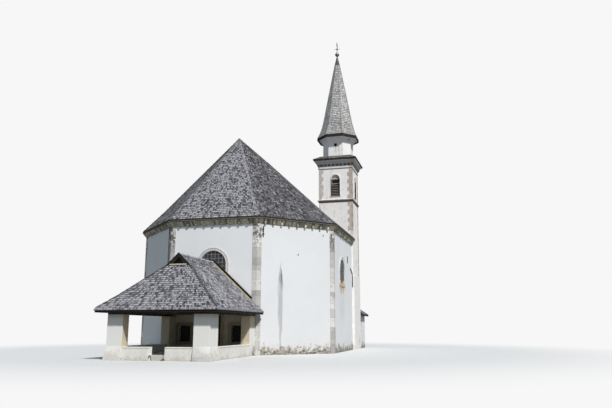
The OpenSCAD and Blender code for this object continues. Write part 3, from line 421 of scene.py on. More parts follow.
def split_shingles(base, name, silver, patchy):
    """Split wooden shingles: each has its own tone, grain down the slope and a shadow above its lower end"""
    f = Finish(name, 0.9)
    slope = f.add("ShaderNodeUVMap", uv_map="grain").outputs["UV"]
    grain = f.noise(1.0, 5, 0.7, (60, 4, 1), slope)
    streak = f.noise(1.0, 4, 0.6, (14, 1.2, 1), slope)
    f.skin = f.shade(f.own_tone(), 0.0, 2.0, base)
    f.blot(streak, 0.45, 0.75, silver, darker(base, 1.9))
    f.blot(grain, 0.45, 0.7, 0.55, darker(base, 0.42, 0.06))
    f.blot(f.noise(0.55, 6, 0.7), 0.5, 0.72, patchy, darker(base, 0.55, 0.1))
    rise = f.calc("FRACT", f.axis("Y", slope), 0.0)
    f.coat(f.times(f.span(rise, 0.17, 0.25), f.span(rise, 0.34, 0.28), 0.75), darker(base, 0.25))
    f.bump(grain, 0.5, 0.006)
    return f.done(f.span(grain, 0.2, 0.8, 0.78, 0.97))


def sawn_wood(base, name, wear=0.5):
    """Sawn and weathered boards with grain, checks and bleached edges"""
    f = Finish(name, 0.8)
    grain = f.noise(1.0, 6, 0.7, (18, 18, 4.5))
    lengthways = f.noise(1.0, 5, 0.65, (1.5, 1.5, 28.8))
    f.skin = f.shade(f.own_tone(), 0.35, 1.75, base)
    f.blot(grain, 0.42, 0.7, 0.55, darker(base, 0.45, 0.05))
    f.blot(lengthways, 0.5, 0.72, 0.4, darker(base, 0.55))
    f.blot(f.noise(1.4, 5), 0.5, 0.75, wear, darker(base, 2.1, -0.06))
    f.bump(f.calc("ADD", grain, lengthways), 0.35, 0.006)
    return f.done(f.span(grain, 0.2, 0.8, 0.65, 0.9))


def old_glass(base):
    """Dark panes that are slightly wavy, with dust in their corners"""
    f = Finish("old_glass", 0.12)
    dust = f.noise(6, 5, 0.7)
    f.skin = base
    f.blot(dust, 0.45, 0.8, 0.5, darker(base, 3.2, 0.02))
    f.shader.inputs["Specular IOR Level"].default_value = 0.1
    f.bump(f.noise(3.5, 2, 0.5), 0.2, 0.01)
    return f.done(f.span(dust, 0.3, 0.8, 0.06, 0.4))


def worked_metal(base, name, rough, metallic=1.0, stain=(0.1, 0.16, 0.14)):
    """Hammered or rolled metal with dull stains"""
    f = Finish(name, rough, metallic)
    stains = f.noise(7, 6, 0.7)
    f.skin = f.shade(f.noise(1.0, 4, 0.6, (40, 40, 6)), 0.75, 1.15, base)
    f.blot(stains, 0.48, 0.72, 0.35, stain)
    f.bump(f.noise(22, 3, 0.5), 0.15, 0.006)
    return f.done(f.span(stains, 0.3, 0.75, rough * 0.8, min(1.0, rough * 1.9)))


def laid_slabs(base):
    """Flat paving slabs with worn faces and dark earth in the joints"""
    f = Finish("laid_slabs", 0.85)
    layout = f.stretch((1.0, 1.3, 0.2))
    joint = f.cells(1.5, layout, "DISTANCE_TO_EDGE")
    speckle = f.noise(20, 6, 0.75)
    f.skin = f.shade(f.axis("X", f.cells(1.5, layout, output="Color")), 0.7, 1.3, base)
    f.blot(speckle, 0.4, 0.7, 0.5, darker(base, 0.6))
    f.coat(f.span(joint, 0.03, 0.0), (0.06, 0.05, 0.04))
    f.bump(f.span(joint, 0.0, 0.05), 0.6, 0.02)
    f.bump(speckle, 0.3, 0.008)
    return f.done(f.span(speckle, 0.3, 0.7, 0.7, 0.95))


def eaves_edge(dark, pale):
    """Timber behind the shingles: a weathered board low on the edge of the roof, with a near-black deck above and
    below, which is dark timber with painted shade under the shingles and the eaves
    """
    f = Finish("eaves_edge", 0.85)
    grain = f.noise(1.0, 6, 0.7, (6, 6, 30))
    board = f.shade(grain, 0.6, 1.25, darker(pale, 0.5))
    # Painted shade with dark timber: the deck above the board and the underside below are near black
    deck = f.shade(grain, 0.5, 1.4, darker(dark, 0.3))
    edge = f.mix(f.band("Z", ROOF_EDGE - 0.068, ROOF_EDGE - 0.062), board, deck)
    f.skin = f.mix(f.band("Z", WALL_TOP + 0.002, WALL_TOP + 0.01), darker(dark, 0.8), edge)
    f.bump(grain, 0.3, 0.006)
    return f.done()


def porch_deck(dark, worn):
    """Boards under the porch shingles: dark inside, split and weathered along the edge of the roof"""
    f = Finish("porch_deck", 0.88)
    grain = f.noise(1.0, 6, 0.7, (6, 6, 30))
    splits = f.noise(1.0, 4, 0.7, (11, 11, 0.8))
    outer = f.calc("MAXIMUM", f.span(f.off(f.axis("X")), PORCH_HIGH.x - 0.12, PORCH_HIGH.x - 0.1),
                   f.band("Y", PORCH_LOW.y + 0.12, PORCH_LOW.y + 0.1))
    rim = f.times(outer, f.band("Z", PORCH_LOW.z + 0.015, PORCH_LOW.z + 0.025))
    f.skin = f.mix(rim, f.shade(grain, 0.5, 1.4, dark), f.shade(f.span(splits, 0.35, 0.65), 0.35, 1.9, worn))
    f.bump(grain, 0.3, 0.006)
    return f.done()


def pale_floor():
    """Studio floor that keeps the shadow and fades to white far from the building"""
    f = Finish("pale_floor", 0.9)
    distance = f.add("ShaderNodeVectorMath", {0: f.place}, operation="LENGTH").outputs["Value"]
    seen = f.add("ShaderNodeLightPath").outputs["Is Camera Ray"]
    f.skin = f.mix(seen, (0.22, 0.22, 0.22), (0.70, 0.70, 0.70))
    f.blot(f.noise(0.6, 3, 0.5), 0.3, 0.7, 0.03, (0.5, 0.5, 0.5))
    f.done()
    glow = f.add("ShaderNodeEmission", {"Color": (1, 1, 1), "Strength": BACKDROP})
    far = f.times(f.span(distance, 16.0, 31.0), seen)
    blend = f.add("ShaderNodeMixShader", {0: far, 1: f.shader.outputs[0], 2: glow.outputs[0]})
    f.tree.links.new(blend.outputs[0], f.tree.nodes["Material Output"].inputs["Surface"])
    return f.material


SHELF = {}


def finish(name):
    """The material of that name, made once"""
    if name in SHELF:
        return SHELF[name]
    c = bpy.context.scene.chapel_colours
    maker, *settings = {
        "plaster": (trowelled_plaster, c.plaster),
        "piers": (trowelled_plaster, (0.90, 0.885, 0.845), "pier_plaster"),
        # Painted shade: the sunny diagonal wall gets a plaster 7 % darker than the other walls
        "streaked": (streaked_plaster, darker(c.plaster, 0.93)),
        "tower": (weathered_plaster, c.tower),
        "cornice": (cornice_plaster_with_painted_shade, darker(c.tower, 0.9)),
        "bench": (bench_plaster, c.bench),
        "stone": (cut_stone, c.stone, "cut_stone", 0.6, 0.8),
        "tower_stone": (cut_stone, darker(c.stone, 0.70, 0.04), "tower_stone", 0.5, 0.0, 0.9),
        "porch_stone": (cut_stone, (0.50, 0.42, 0.28), "porch_stone", 0.3),
        "frame_stone": (cut_stone, darker(c.stone, 1.2), "frame_stone", 0.2),
        "threshold": (laid_slabs, (0.92, 0.89, 0.82)),
        "paving": (laid_slabs, c.paving),
        "shingles": (split_shingles, c.shingle, "nave_shingles", 0.35, 0.15),
        "spire_shingles": (split_shingles, c.spire_shingle, "spire_shingles", 0.15, 0.1),
        # Painted shade: near-black for the linings and backs of the oculi
        "soot": (sawn_wood, (0.02, 0.018, 0.017), "soot", 0.1),
        # Near-black timber: tar, with painted shade on the fascias and the board under the spire's eave
        "tarred_wood": (sawn_wood, (0.022, 0.016, 0.012), "tarred_wood", 0.15),
        "black_wood": (sawn_wood, darker(c.dark_wood, 0.55), "black_wood", 0.2),
        "mossy_wood": (sawn_wood, (0.36, 0.32, 0.21), "mossy_wood", 0.2),
        "dark_wood": (sawn_wood, c.dark_wood, "dark_wood"),
        "soffit": (sawn_wood, c.soffit, "eaves_boards", 0.35),
        "pale_wood": (sawn_wood, c.pale_wood, "pale_wood", 0.3),
        "louvre_wood": (sawn_wood, (0.25, 0.21, 0.20), "louvre_wood", 0.4),
        "porch_deck": (porch_deck, darker(c.dark_wood, 0.5), c.shingle),
        "eaves_edge": (eaves_edge, darker(c.dark_wood, 0.6), darker(c.pale_wood, 0.85)),
        "glass": (old_glass, c.glass),
        "copper": (worked_metal, c.copper, "copper", 0.34),
        "zinc": (worked_metal, c.zinc, "zinc", 0.5, 0.6, (0.16, 0.17, 0.18)),
        "dull_zinc": (worked_metal, (0.10, 0.11, 0.12), "dull_zinc", 0.6, 0.3, (0.06, 0.07, 0.06)),
        "iron": (worked_metal, c.iron, "iron", 0.6, 0.4, (0.09, 0.05, 0.03)),
        "floor": (pale_floor,),
    }[name]
    SHELF[name] = maker(*settings)
    return SHELF[name]


def dress(node, name):
    """Gives a CAD node that stays in view its material"""
    slots = NODES[node].data.materials
    slots.clear()
    slots.append(finish(name))


# Making pieces

def keep(name, bm, material, slot, *replaced, tones=None):
    """Turns a bmesh into a finished piece that rides on the building. tones are a seed, the darkest and the
    lightest tone of its solids."""
    if tones:
        tint(bm, *tones)
    mesh = bpy.data.meshes.new(name)
    bm.to_mesh(mesh)
    bm.free()
    mesh.materials.append(finish(material))
    piece = bpy.data.objects.new(name, mesh)
    bpy.context.scene.collection.objects.link(piece)
    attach(piece, "root")
    if replaced:
        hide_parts(*replaced)


def shift(bm, verts, vector):
    bmesh.ops.translate(bm, verts=verts, vec=vector)


def place(bm, verts, matrix):
    bmesh.ops.transform(bm, matrix=matrix, verts=verts)


def turn(bm, verts, angle, axis, centre=(0, 0, 0)):
    bmesh.ops.rotate(bm, verts=verts, cent=centre, matrix=Matrix.Rotation(angle, 3, axis))


def sweep(bm, geom, centre, axis, angle, steps, merge):
    """Carries points and edges round an axis, with faces between them"""
    return bmesh.ops.spin(bm, geom=geom, cent=centre, axis=axis, angle=angle, dvec=(0, 0, 0), steps=steps,
                          use_merge=merge, use_normal_flip=False, use_duplicate=False)


def stand(bm, verts, x_way, y_way, z_way, spot):
    """Turns a shape so that its axes point along three directions, and moves it to a spot"""
    matrix = Matrix((x_way, y_way, z_way)).transposed().to_4x4()
    matrix.translation = spot
    place(bm, verts, matrix)


def slab(bm, low_corner, high_corner, edge=0.0):
    """A block between two corners, with its edges rounded if asked. Returns its vertices."""
    verts = bmesh.ops.create_cube(bm, size=1)["verts"]
    bmesh.ops.scale(bm, vec=Vector(high_corner) - Vector(low_corner), verts=verts)
    shift(bm, verts, (Vector(low_corner) + Vector(high_corner)) / 2)
    if edge:
        made = round_off(bm, list({e for v in verts for e in v.link_edges}), edge, 1)
        verts = list({v for f in made["faces"] for v in f.verts})
    return verts


def round_off(bm, edges, width, segments):
    return bmesh.ops.bevel(bm, geom=edges, offset=width, offset_type="OFFSET", affect="EDGES", segments=segments,
                           profile=0.5, material=-1, clamp_overlap=True)


def soften(bm, width, least=0.5, segments=1):
    """Rounds every edge that turns by more than an angle"""
    round_off(bm, [e for e in bm.edges if len(e.link_faces) == 2 and e.calc_face_angle(0) > least], width, segments)


def merged_copy(node):
    """A bmesh of a CAD node with its loose triangles joined into flat faces"""
    bm = bmesh.new()
    bm.from_mesh(NODES[node].data)
    bmesh.ops.remove_doubles(bm, verts=bm.verts, dist=0.0002)
    bmesh.ops.dissolve_limit(bm, angle_limit=0.02, verts=bm.verts, edges=bm.edges, delimit={"NORMAL"})
    return bm


def softened(name, node, material, slot, width, tones=(1, 0.35, 0.65), segments=1):
    """A copy of a CAD node with rounded edges, which stands for the node"""
    bm = merged_copy(node)
    soften(bm, width, segments=segments)
    keep(name, bm, material, slot, node, tones=tones)


def verts_of(made):
    return [g for g in made["geom"] if isinstance(g, bmesh.types.BMVert)]


def pour(target, source):
    """Adds one bmesh to another, with its attributes"""
    mesh = bpy.data.meshes.new("pour")
    source.to_mesh(mesh)
    source.free()
    target.from_mesh(mesh)
    bpy.data.meshes.remove(mesh)


def trim(bm, point, normal):
    """Cuts away what lies beyond a plane"""
    bmesh.ops.bisect_plane(bm, geom=bm.verts[:] + bm.edges[:] + bm.faces[:], plane_co=point, plane_no=normal,
                           clear_outer=True, dist=0.00001)


def face_outwards(bm):
    bmesh.ops.recalc_face_normals(bm, faces=bm.faces)


def lathe(bm, outline, centre, steps):
    """Turns an outline of (radius, height) about an upright axis"""
    verts = [bm.verts.new((centre.x + r, centre.y, z)) for r, z in outline]
    edges = [bm.edges.new(pair) for pair in zip(verts, verts[1:])]
    sweep(bm, edges, centre, Z, math.tau, steps, True)
    bmesh.ops.remove_doubles(bm, verts=bm.verts, dist=0.0001)
    face_outwards(bm)


def islands(bm):
    """The separate solids in a bmesh, each as a list of faces"""
    left = set(bm.faces)
    found = []
    for start in bm.faces:
        if start not in left:
            continue
        left.discard(start)
        group, queue = [], [start]
        while queue:
            face = queue.pop()
            group.append(face)
            for edge in face.edges:
                for other in edge.link_faces:
                    if other in left:
                        left.discard(other)
                        queue.append(other)
        found.append(group)
    return found


def tint(bm, seed, darkest, lightest):
    """Gives each separate solid a tone of its own, from 0 for dark to 1 for light"""
    rng = random.Random(seed)
    layer = bm.faces.layers.float.get("tone") or bm.faces.layers.float.new("tone")
    for group in islands(bm):
        tone = rng.uniform(darkest, lightest)
        for face in group:
            face[layer] = tone


def tower_faces():
    """Matrices that carry a shape drawn before the tower's front face to each of its four faces"""
    return [Matrix.Translation(TOWER_FOOT) @ Matrix.Rotation(math.radians(90 * k), 4, "Z")
            @ Matrix.Translation((0, -TOWER_HALF, 0)) for k in range(4)]


# Shingles

def shingle_mesh():
    bm = bmesh.new()
    bm.faces.layers.float.new("tone")
    bm.loops.layers.uv.new("grain")
    return bm


def row_of_blocks(count):
    """Blocks side by side along x, one a unit, without the faces that a course hides"""
    bm = shingle_mesh()
    verts = bmesh.ops.create_cube(bm, size=1)["verts"]
    shift(bm, verts, (0.5, 0.5, 0.5))
    hidden = [f for f in {f for v in verts for f in v.link_faces}
              if all(v.co.z < 0.5 for v in f.verts) or all(v.co.y > 0.5 for v in f.verts)]
    bmesh.ops.delete(bm, geom=hidden, context="FACES_ONLY")
    bare = [e for e in {e for v in verts for e in v.link_edges} if not e.link_faces]
    bmesh.ops.delete(bm, geom=bare, context="EDGES")
    faces = list({f for v in verts for f in v.link_faces})
    if count > 1:
        bmesh.ops.spin(bm, geom=faces + verts + list({e for v in verts for e in v.link_edges}), cent=(0, 0, 0),
                       axis=(0, 0, 1), dvec=(1, 0, 0), angle=0.0, steps=count - 1, use_duplicate=True,
                       use_merge=False, use_normal_flip=False)
    return bm


def shingle_course(whole, ends, normal, width, thickness, tuck, tone, rng, spread=1.3, painted_butt_light=2.3):
    """One course of split shingles. ends are its lower left, lower right, upper left and upper right points, tuck
    is how far it goes up under the next, spread how much the tones differ, and the last argument is painted light
    on the lower ends: a painted highlight above 1 and painted shade below 1."""
    low_a, low_b, high_a, high_b = ends
    wide = (low_b - low_a).length
    count = max(1, round(max(wide, (high_b - high_a).length) / width))
    bm = row_of_blocks(count)
    row = list(bm.verts)
    feet = [v.co.y < 0.5 for v in row]
    joints = [0.0]
    for k in range(count):
        joints.append(joints[-1] + rng.uniform(0.6, 1.4))
    joints = [j / joints[-1] for j in joints]
    up = (((high_a + high_b) - (low_a + low_b)) / 2).normalized()
    level = (low_b - low_a).normalized()
    layer = bm.faces.layers.float["tone"]
    grain = bm.loops.layers.uv["grain"]
    gap = 0.0025 / max(wide, 0.05)
    for k in range(count):
        drop = rng.uniform(-0.013, 0.013)
        lift = rng.uniform(0.75, 1.3) * thickness
        warp = rng.uniform(-0.25, 0.25) * thickness
        own = tone * (1 + spread * (rng.uniform(-0.6, 0.6) if rng.random() < 0.75 else rng.uniform(-0.8, 1.2)))
        across, along = rng.uniform(0, 50), rng.randrange(50) + 0.1
        shingle = row[8 * k:8 * k + 8]
        for v in shingle:
            side, head, top = v.co.x - k > 0.5, v.co.y > 0.5, v.co.z > 0.5
            share = joints[k + 1] - gap if side else joints[k] + gap
            if head:
                spot = high_a.lerp(high_b, share) + up * tuck
                height = 0.004 if top else -0.004
            else:
                spot = low_a.lerp(low_b, share) - up * drop
                height = lift + (warp if side else -warp) if top else 0.001
            v.co = spot + normal * height
        lower = [v for i, v in enumerate(shingle) if feet[8 * k + i]]
        for face in {f for v in shingle for f in v.link_faces}:
            # Painted light on the lower ends: a highlight where the factor is above 1, shade where it is below 1
            lit = painted_butt_light if all(v in lower for v in face.verts) else 1
            face[layer] = min(1.0, max(own, 0.12 * tone) * lit * 0.5)
            for loop in face.loops:
                rel = loop.vert.co - low_a
                loop[grain].uv = (rel.dot(level) + across, rel.dot(up) + along)
    pour(whole, bm)


def shingle_slope(bm, corners, course, width, thickness, tone, seed, first=0.0):
    """Courses of shingles over a flat part of a roof. corners are its lower left, lower right, upper right and
    upper left points, and first is how far up the lowest course starts."""
    rng = random.Random(seed)
    a, b, c, d = [Vector(p) for p in corners]
    rise = ((c + d) - (a + b)) / 2
    normal = (b - a).cross(rise).normalized()
    rise -= (b - a).normalized() * rise.dot((b - a).normalized())
    tall = rise.length - first
    rows = max(1, round(tall / course))
    for k in range(rows):
        s0, s1 = ((first + tall * n / rows) / rise.length for n in (k, k + 1))
        band = tone * rng.uniform(0.9, 1.1)
        ends = (a.lerp(d, s0), b.lerp(c, s0), a.lerp(d, s1), b.lerp(c, s1))
        shingle_course(bm, ends, normal, width, thickness, 0.02, band, rng)


def lay_caps(bm, start, end, left_normal, right_normal, width, step, thickness, tone, seed, lift=0.02):
    """Boards laid over a hip or ridge in pairs, each pair lapping the one below. step is the length that shows of
    a board and lift its height above the line from start to end."""
    rng = random.Random(seed)
    lap = 0.03
    along = (end - start).normalized()
    layer = bm.faces.layers.float["tone"]
    grain = bm.loops.layers.uv["grain"]
    count = max(1, round((end - start).length / step))
    step = (end - start).length / count
    for normal, sign in ((left_normal, 1), (right_normal, -1)):
        across = normal.cross(along) * sign
        if across.dot(left_normal - right_normal) * sign < 0:
            across = -across
        for k in range(count):
            verts = slab(bm, (0, 0, 0), (step + lap, width * rng.uniform(0.88, 1.08), thickness))
            for v in verts:
                if v.co.x > step * 0.5 and k < count - 1:
                    v.co.z -= thickness * 0.8
                if v.co.x > step:
                    v.co.x = step + (lap if k < count - 1 else 0.0)
            stand(bm, verts, along, across, normal, start + along * (k * step) + normal * lift)
            own = min(1.0, tone * rng.uniform(0.7, 1.3) * 0.5)
            off = rng.uniform(0, 40)
            for face in {f for v in verts for f in v.link_faces}:
                face[layer] = own
                for loop in face.loops:
                    rel = loop.vert.co - start
                    loop[grain].uv = (rel.dot(across) + off, rel.dot(along) + off)


# Windows

def moulding(bm, profile, width, sill, spring, steps=24):
    """A round-headed frame before the plane y = 0. profile is a list of (distance from the opening, depth)."""
    face = bm.faces.new([bm.verts.new((width / 2 + out, -deep, sill)) for out, deep in profile])
    made = bmesh.ops.extrude_face_region(bm, geom=[face])
    shift(bm, verts_of(made), (0, 0, spring - sill))
    ring = [g for g in made["geom"] if isinstance(g, bmesh.types.BMFace)]
    bmesh.ops.delete(bm, geom=[face], context="FACES_ONLY")
    edges = list({e for f in ring for e in f.edges})
    bmesh.ops.delete(bm, geom=ring, context="FACES_ONLY")
    made = sweep(bm, edges, (0, 0, spring), -Y, math.pi, steps, False)
    last = [g for g in made["geom_last"] if isinstance(g, bmesh.types.BMEdge)]
    made = bmesh.ops.extrude_edge_only(bm, edges=last)
    shift(bm, verts_of(made), (0, 0, sill - spring))
    face_outwards(bm)


def lattice(bm, width, sill, spring, bar, panes, y):
    """Bars that cross a round-headed opening"""
    r = width / 2
    pitch = width / panes
    for k in range(1, panes):
        x = -r + k * pitch
        top = spring + math.sqrt(max(0.0, r * r - x * x))
        slab(bm, (x - bar / 2, y, sill), (x + bar / 2, y + bar * 0.7, top))
    z = sill + pitch
    while z < spring + r - 0.05:
        half = r if z < spring else math.sqrt(max(0.0, r * r - (z - spring) ** 2))
        slab(bm, (-half, y + 0.004, z - bar / 2), (half, y + bar * 0.7 - 0.004, z + bar / 2))
        z += pitch


def above_porch_roof(source):
    """What stands clear of the boards where the porch roof meets the front wall"""
    foot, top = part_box("wall_flashing")
    slope = (PORCH_HIGH.z - foot.z) / top.x
    whole = bmesh.new()
    for side in (-1, 1):
        half = source.copy()
        trim(half, (0, 0, 0), (-side, 0, 0))
        trim(half, (0, 0, top.z + 0.002), (-side * slope, 0, -1))
        pour(whole, half)
    source.free()
    return whole


def clear_of_tower(point):
    """Whether a place at the eaves is clear of the tower, which stops them"""
    return not (point.x > TOWER_LOW.x - 0.02 and TOWER_LOW.y - 0.02 < point.y < TOWER_HIGH.y + 0.02)


# Pieces

class CHAPEL_OT_stage(bpy.types.Operator):
    """Make the floor, the daylight, the backdrop and the camera"""
    bl_idname = "chapel.stage"
    bl_label = "Floor, light and camera"

    def execute(self, context):
        scene = context.scene
        scene.view_settings.view_transform = "Standard"
        bm = bmesh.new()
        bmesh.ops.create_grid(bm, x_segments=1, y_segments=1, size=220)
        mesh = bpy.data.meshes.new("floor")
        bm.to_mesh(mesh)
        bm.free()
        mesh.materials.append(finish("floor"))
        floor = bpy.data.objects.new("floor", mesh)
        scene.collection.objects.link(floor)

        sun = bpy.data.lights.new("soft_sun", "SUN")
        sun.energy = 3.55
        sun.angle = math.radians(4)
        sun.color = (1.0, 0.98, 0.955)
        lamp = bpy.data.objects.new("soft_sun", sun)
        towards_sun = Vector((0.47, -0.47, 0.75))
        lamp.rotation_euler = towards_sun.to_track_quat("Z", "Y").to_euler()
        scene.collection.objects.link(lamp)

        world = bpy.data.worlds.new("studio")
        world.use_nodes = True
        tree = world.node_tree
        tree.nodes.clear()
        swap = tree.nodes.new("ShaderNodeMixShader")
        path = tree.nodes.new("ShaderNodeLightPath")
        tree.links.new(path.outputs["Is Camera Ray"], swap.inputs[0])
        sky, sky_strength = (0.70, 0.86, 1.0, 1), 0.31
        for i, tone, strength in ((1, sky, sky_strength), (2, (1, 1, 1, 1), BACKDROP)):
            glow = tree.nodes.new("ShaderNodeBackground")
            glow.inputs["Color"].default_value = tone
            glow.inputs["Strength"].default_value = strength
            tree.links.new(glow.outputs[0], swap.inputs[i])
        out = tree.nodes.new("ShaderNodeOutputWorld")
        tree.links.new(swap.outputs[0], out.inputs["Surface"])
        scene.world = world

        lens = bpy.data.cameras.new("view")
        lens.lens = 35.294
        lens.sensor_width = 36
        lens.clip_start = 0.5
        lens.clip_end = 600
        camera = bpy.data.objects.new("view", lens)
        eye_height, tilt, bearing = 1.65, 11.65, 14.18
        camera.location = (15.08, -43.15, eye_height)
        camera.rotation_euler = (math.radians(90 + tilt), 0, math.radians(bearing))
        scene.collection.objects.link(camera)
        scene.camera = camera
        return {"FINISHED"}


class CHAPEL_OT_walls(bpy.types.Operator):
    """Plaster the nave, the tower and the annex, and give the floors and hidden timbers their finish"""
    bl_idname = "chapel.walls"
    bl_label = "Plastered walls and floors"

    def execute(self, context):
        coats = {
            "plaster": ("front_wall_left", "front_wall_right", "front_wall_top", "right_wall", "rear_right_wall",
                        "rear_wall", "rear_left_wall", "left_wall", "front_left_wall", "annex_walls"),
            "streaked": ("front_right_wall",),
            "tower": ("tower_shaft", "belfry_walls", "drum", "spire_cornice"),
            "cornice": ("tower_cornice", "string_course"),
            "paving": ("nave_floor",),
            "threshold": ("porch_floor",),
            "porch_deck": ("porch_roof",),
            "dark_wood": ("roof_plate", "porch_beams", "porch_roof_frames"),
            "black_wood": ("skirt_roof", "spire", "annex_roof"),
            "eaves_edge": ("nave_roof",),
            "glass": ("window_panes",),
        }
        for coat, nodes in coats.items():
            for node in nodes:
                dress(node, coat)
        return {"FINISHED"}


class CHAPEL_OT_quoins(bpy.types.Operator):
    """Build the corner strips of the nave from stones of different heights"""
    bl_idname = "chapel.quoins"
    bl_label = "Corner stones of the nave"

    def execute(self, context):
        block_height = context.scene.chapel_sizes.quoin_block
        top = high("corner_quoins").z
        joint = 0.010
        source = merged_copy("corner_quoins")
        bm = bmesh.new()
        tone = bm.faces.layers.float.new("tone")
        rng = random.Random(21)
        for foot in [f for f in source.faces if abs(f.calc_center_median().z) < 0.001 and f.normal.z < -0.9]:
            outline = [v.co.copy() for v in reversed(foot.verts)]
            z = 0.0
            while z < top - 0.01:
                tall = block_height * rng.uniform(0.55, 1.5)
                if top - z - tall < 0.2:
                    tall = top - z
                verts = [bm.verts.new((p.x, p.y, z)) for p in outline]
                made = bmesh.ops.extrude_face_region(bm, geom=[bm.faces.new(verts)])
                lifted = verts_of(made)
                shift(bm, lifted, (0, 0, tall - joint))
                faces = list({f for v in verts + lifted for f in v.link_faces})
                bmesh.ops.recalc_face_normals(bm, faces=faces)
                own = rng.uniform(0.25, 0.8)
                for f in faces:
                    f[tone] = own
                z += tall
        source.free()
        soften(bm, 0.006, 0.9)
        keep("nave_quoins", bm, "stone", "stone", "corner_quoins")
        return {"FINISHED"}


class CHAPEL_OT_eaves(bpy.types.Operator):
    """Board the slope under the nave eaves and shape the rafter ends"""
    bl_idname = "chapel.eaves"
    bl_label = "Eaves boards and rafter ends"

    def execute(self, context):
        foot, reach = low("eaves_frieze").z, high("eaves_frieze").y - WALL_Y
        bm = bmesh.new()
        rng = random.Random(5)
        for i in range(8):
            a0, b0, a1, b1 = [nave_corner(i + step, out) + Z * z
                              for out, z in ((0.03, foot), (reach, WALL_TOP - 0.03)) for step in (0, 1)]
            out = (b0 - a0).normalized().cross(((a1 + b1) - (a0 + b0)).normalized()).normalized()
            if out.dot(Vector((a0.x, a0.y, 0))) < 0:
                out = -out
            count = round((b1 - a1).length / context.scene.chapel_sizes.soffit_board)
            for k in range(count):
                if not clear_of_tower(a1.lerp(b1, (k + 0.5) / count)):
                    continue
                verts = slab(bm, (0, 0, 0), (1, 1, 1))
                thick = rng.uniform(0.008, 0.02)
                for v in verts:
                    share = (k + (0.96 if v.co.x > 0.5 else 0.04)) / count
                    point = a1.lerp(b1, share) if v.co.y > 0.5 else a0.lerp(b0, share)
                    v.co = point + out * (thick if v.co.z > 0.5 else -0.004)
        face_outwards(bm)
        keep("eaves_boards", bm, "soffit", "dark_timber", tones=(8, 0.0, 1.0))
        dress("eaves_frieze", "soffit")

        bm = merged_copy("rafter_ends")
        soften(bm, 0.008)
        tint(bm, 12, 0.0, 0.85)
        tone = bm.faces.layers.float["tone"]
        # Painted shade: the rafter ends under the front eaves are darkened far more than the rest
        for face in bm.faces:
            face[tone] *= 0.1 if face.calc_center_median().y < -WALL_Y else 0.75
        keep("shaped_rafter_ends", bm, "pale_wood", "pale_timber", "rafter_ends")
        return {"FINISHED"}


class CHAPEL_OT_nave_roof(bpy.types.Operator):
    """Lay split shingles and hip boards over the eight slopes of the nave roof"""
    bl_idname = "chapel.nave_roof"
    bl_label = "Shingles of the nave roof"

    def execute(self, context):
        sizes = context.scene.chapel_sizes
        args = (sizes.nave_course, sizes.shingle_width, sizes.shingle_thickness)
        front_end = Vector((0, -RIDGE_HALF, RIDGE_Z))
        rear_end = Vector((0, RIDGE_HALF, RIDGE_Z))
        ends = [front_end if i == 0 or i >= 5 else rear_end for i in range(8)]
        eave = [nave_corner(i, EAVE_OUT) + Z * ROOF_EDGE for i in range(8)]
        flare_share, dip = 0.22, 0.11
        flare = [corner + flare_share * (end - corner) - Z * dip for corner, end in zip(eave, ends)]
        cuts = {0: [[((0, TOWER_LOW.y, 0), Y)]],
                1: [[((TOWER_LOW.x, 0, 0), X)], [((TOWER_LOW.x, 0, 0), -X), ((0, TOWER_HIGH.y, 0), -Y)]]}
        whole = shingle_mesh()
        normals = []
        for i, tone in enumerate([0.75, 0.8, 0.85, 0.9, 0.9, 0.76, 1.13, 0.52]):
            j = (i + 1) % 8
            for part in cuts.get(i, [[]]):
                bm = shingle_mesh()
                shingle_slope(bm, (eave[i], eave[j], flare[j], flare[i]), *args, tone, 100 + i, 0.048)
                shingle_slope(bm, (flare[i], flare[j], ends[j], ends[i]), *args, tone, 200 + i)
                for cut in part:
                    trim(bm, *cut)
                pour(whole, bm)
            normals.append((flare[j] - flare[i]).cross(ends[i] - flare[i]).normalized())
        keep("nave_shingles", whole, "shingles", "shingles")

        caps = shingle_mesh()
        thickness = 0.022
        for i in range(8):
            bm = shingle_mesh()
            style = (normals[(i - 1) % 8], normals[i], 0.07, 0.3, thickness, 1.35 if i == 7 else 0.8)
            lay_caps(bm, eave[i].lerp(flare[i], 0.06), flare[i], *style, 300 + i)
            lay_caps(bm, flare[i], ends[i], *style, 320 + i)
            if i == 1:
                trim(bm, (TOWER_LOW.x, 0, 0), X)
            pour(caps, bm)
        lay_caps(caps, front_end, rear_end, normals[4], normals[0], 0.16, 0.35, thickness, 1.2, 340, 0.0)
        shift(caps, caps.verts, (0, 0, -0.01))
        keep("nave_hip_boards", caps, "shingles", "shingles")
        return {"FINISHED"}


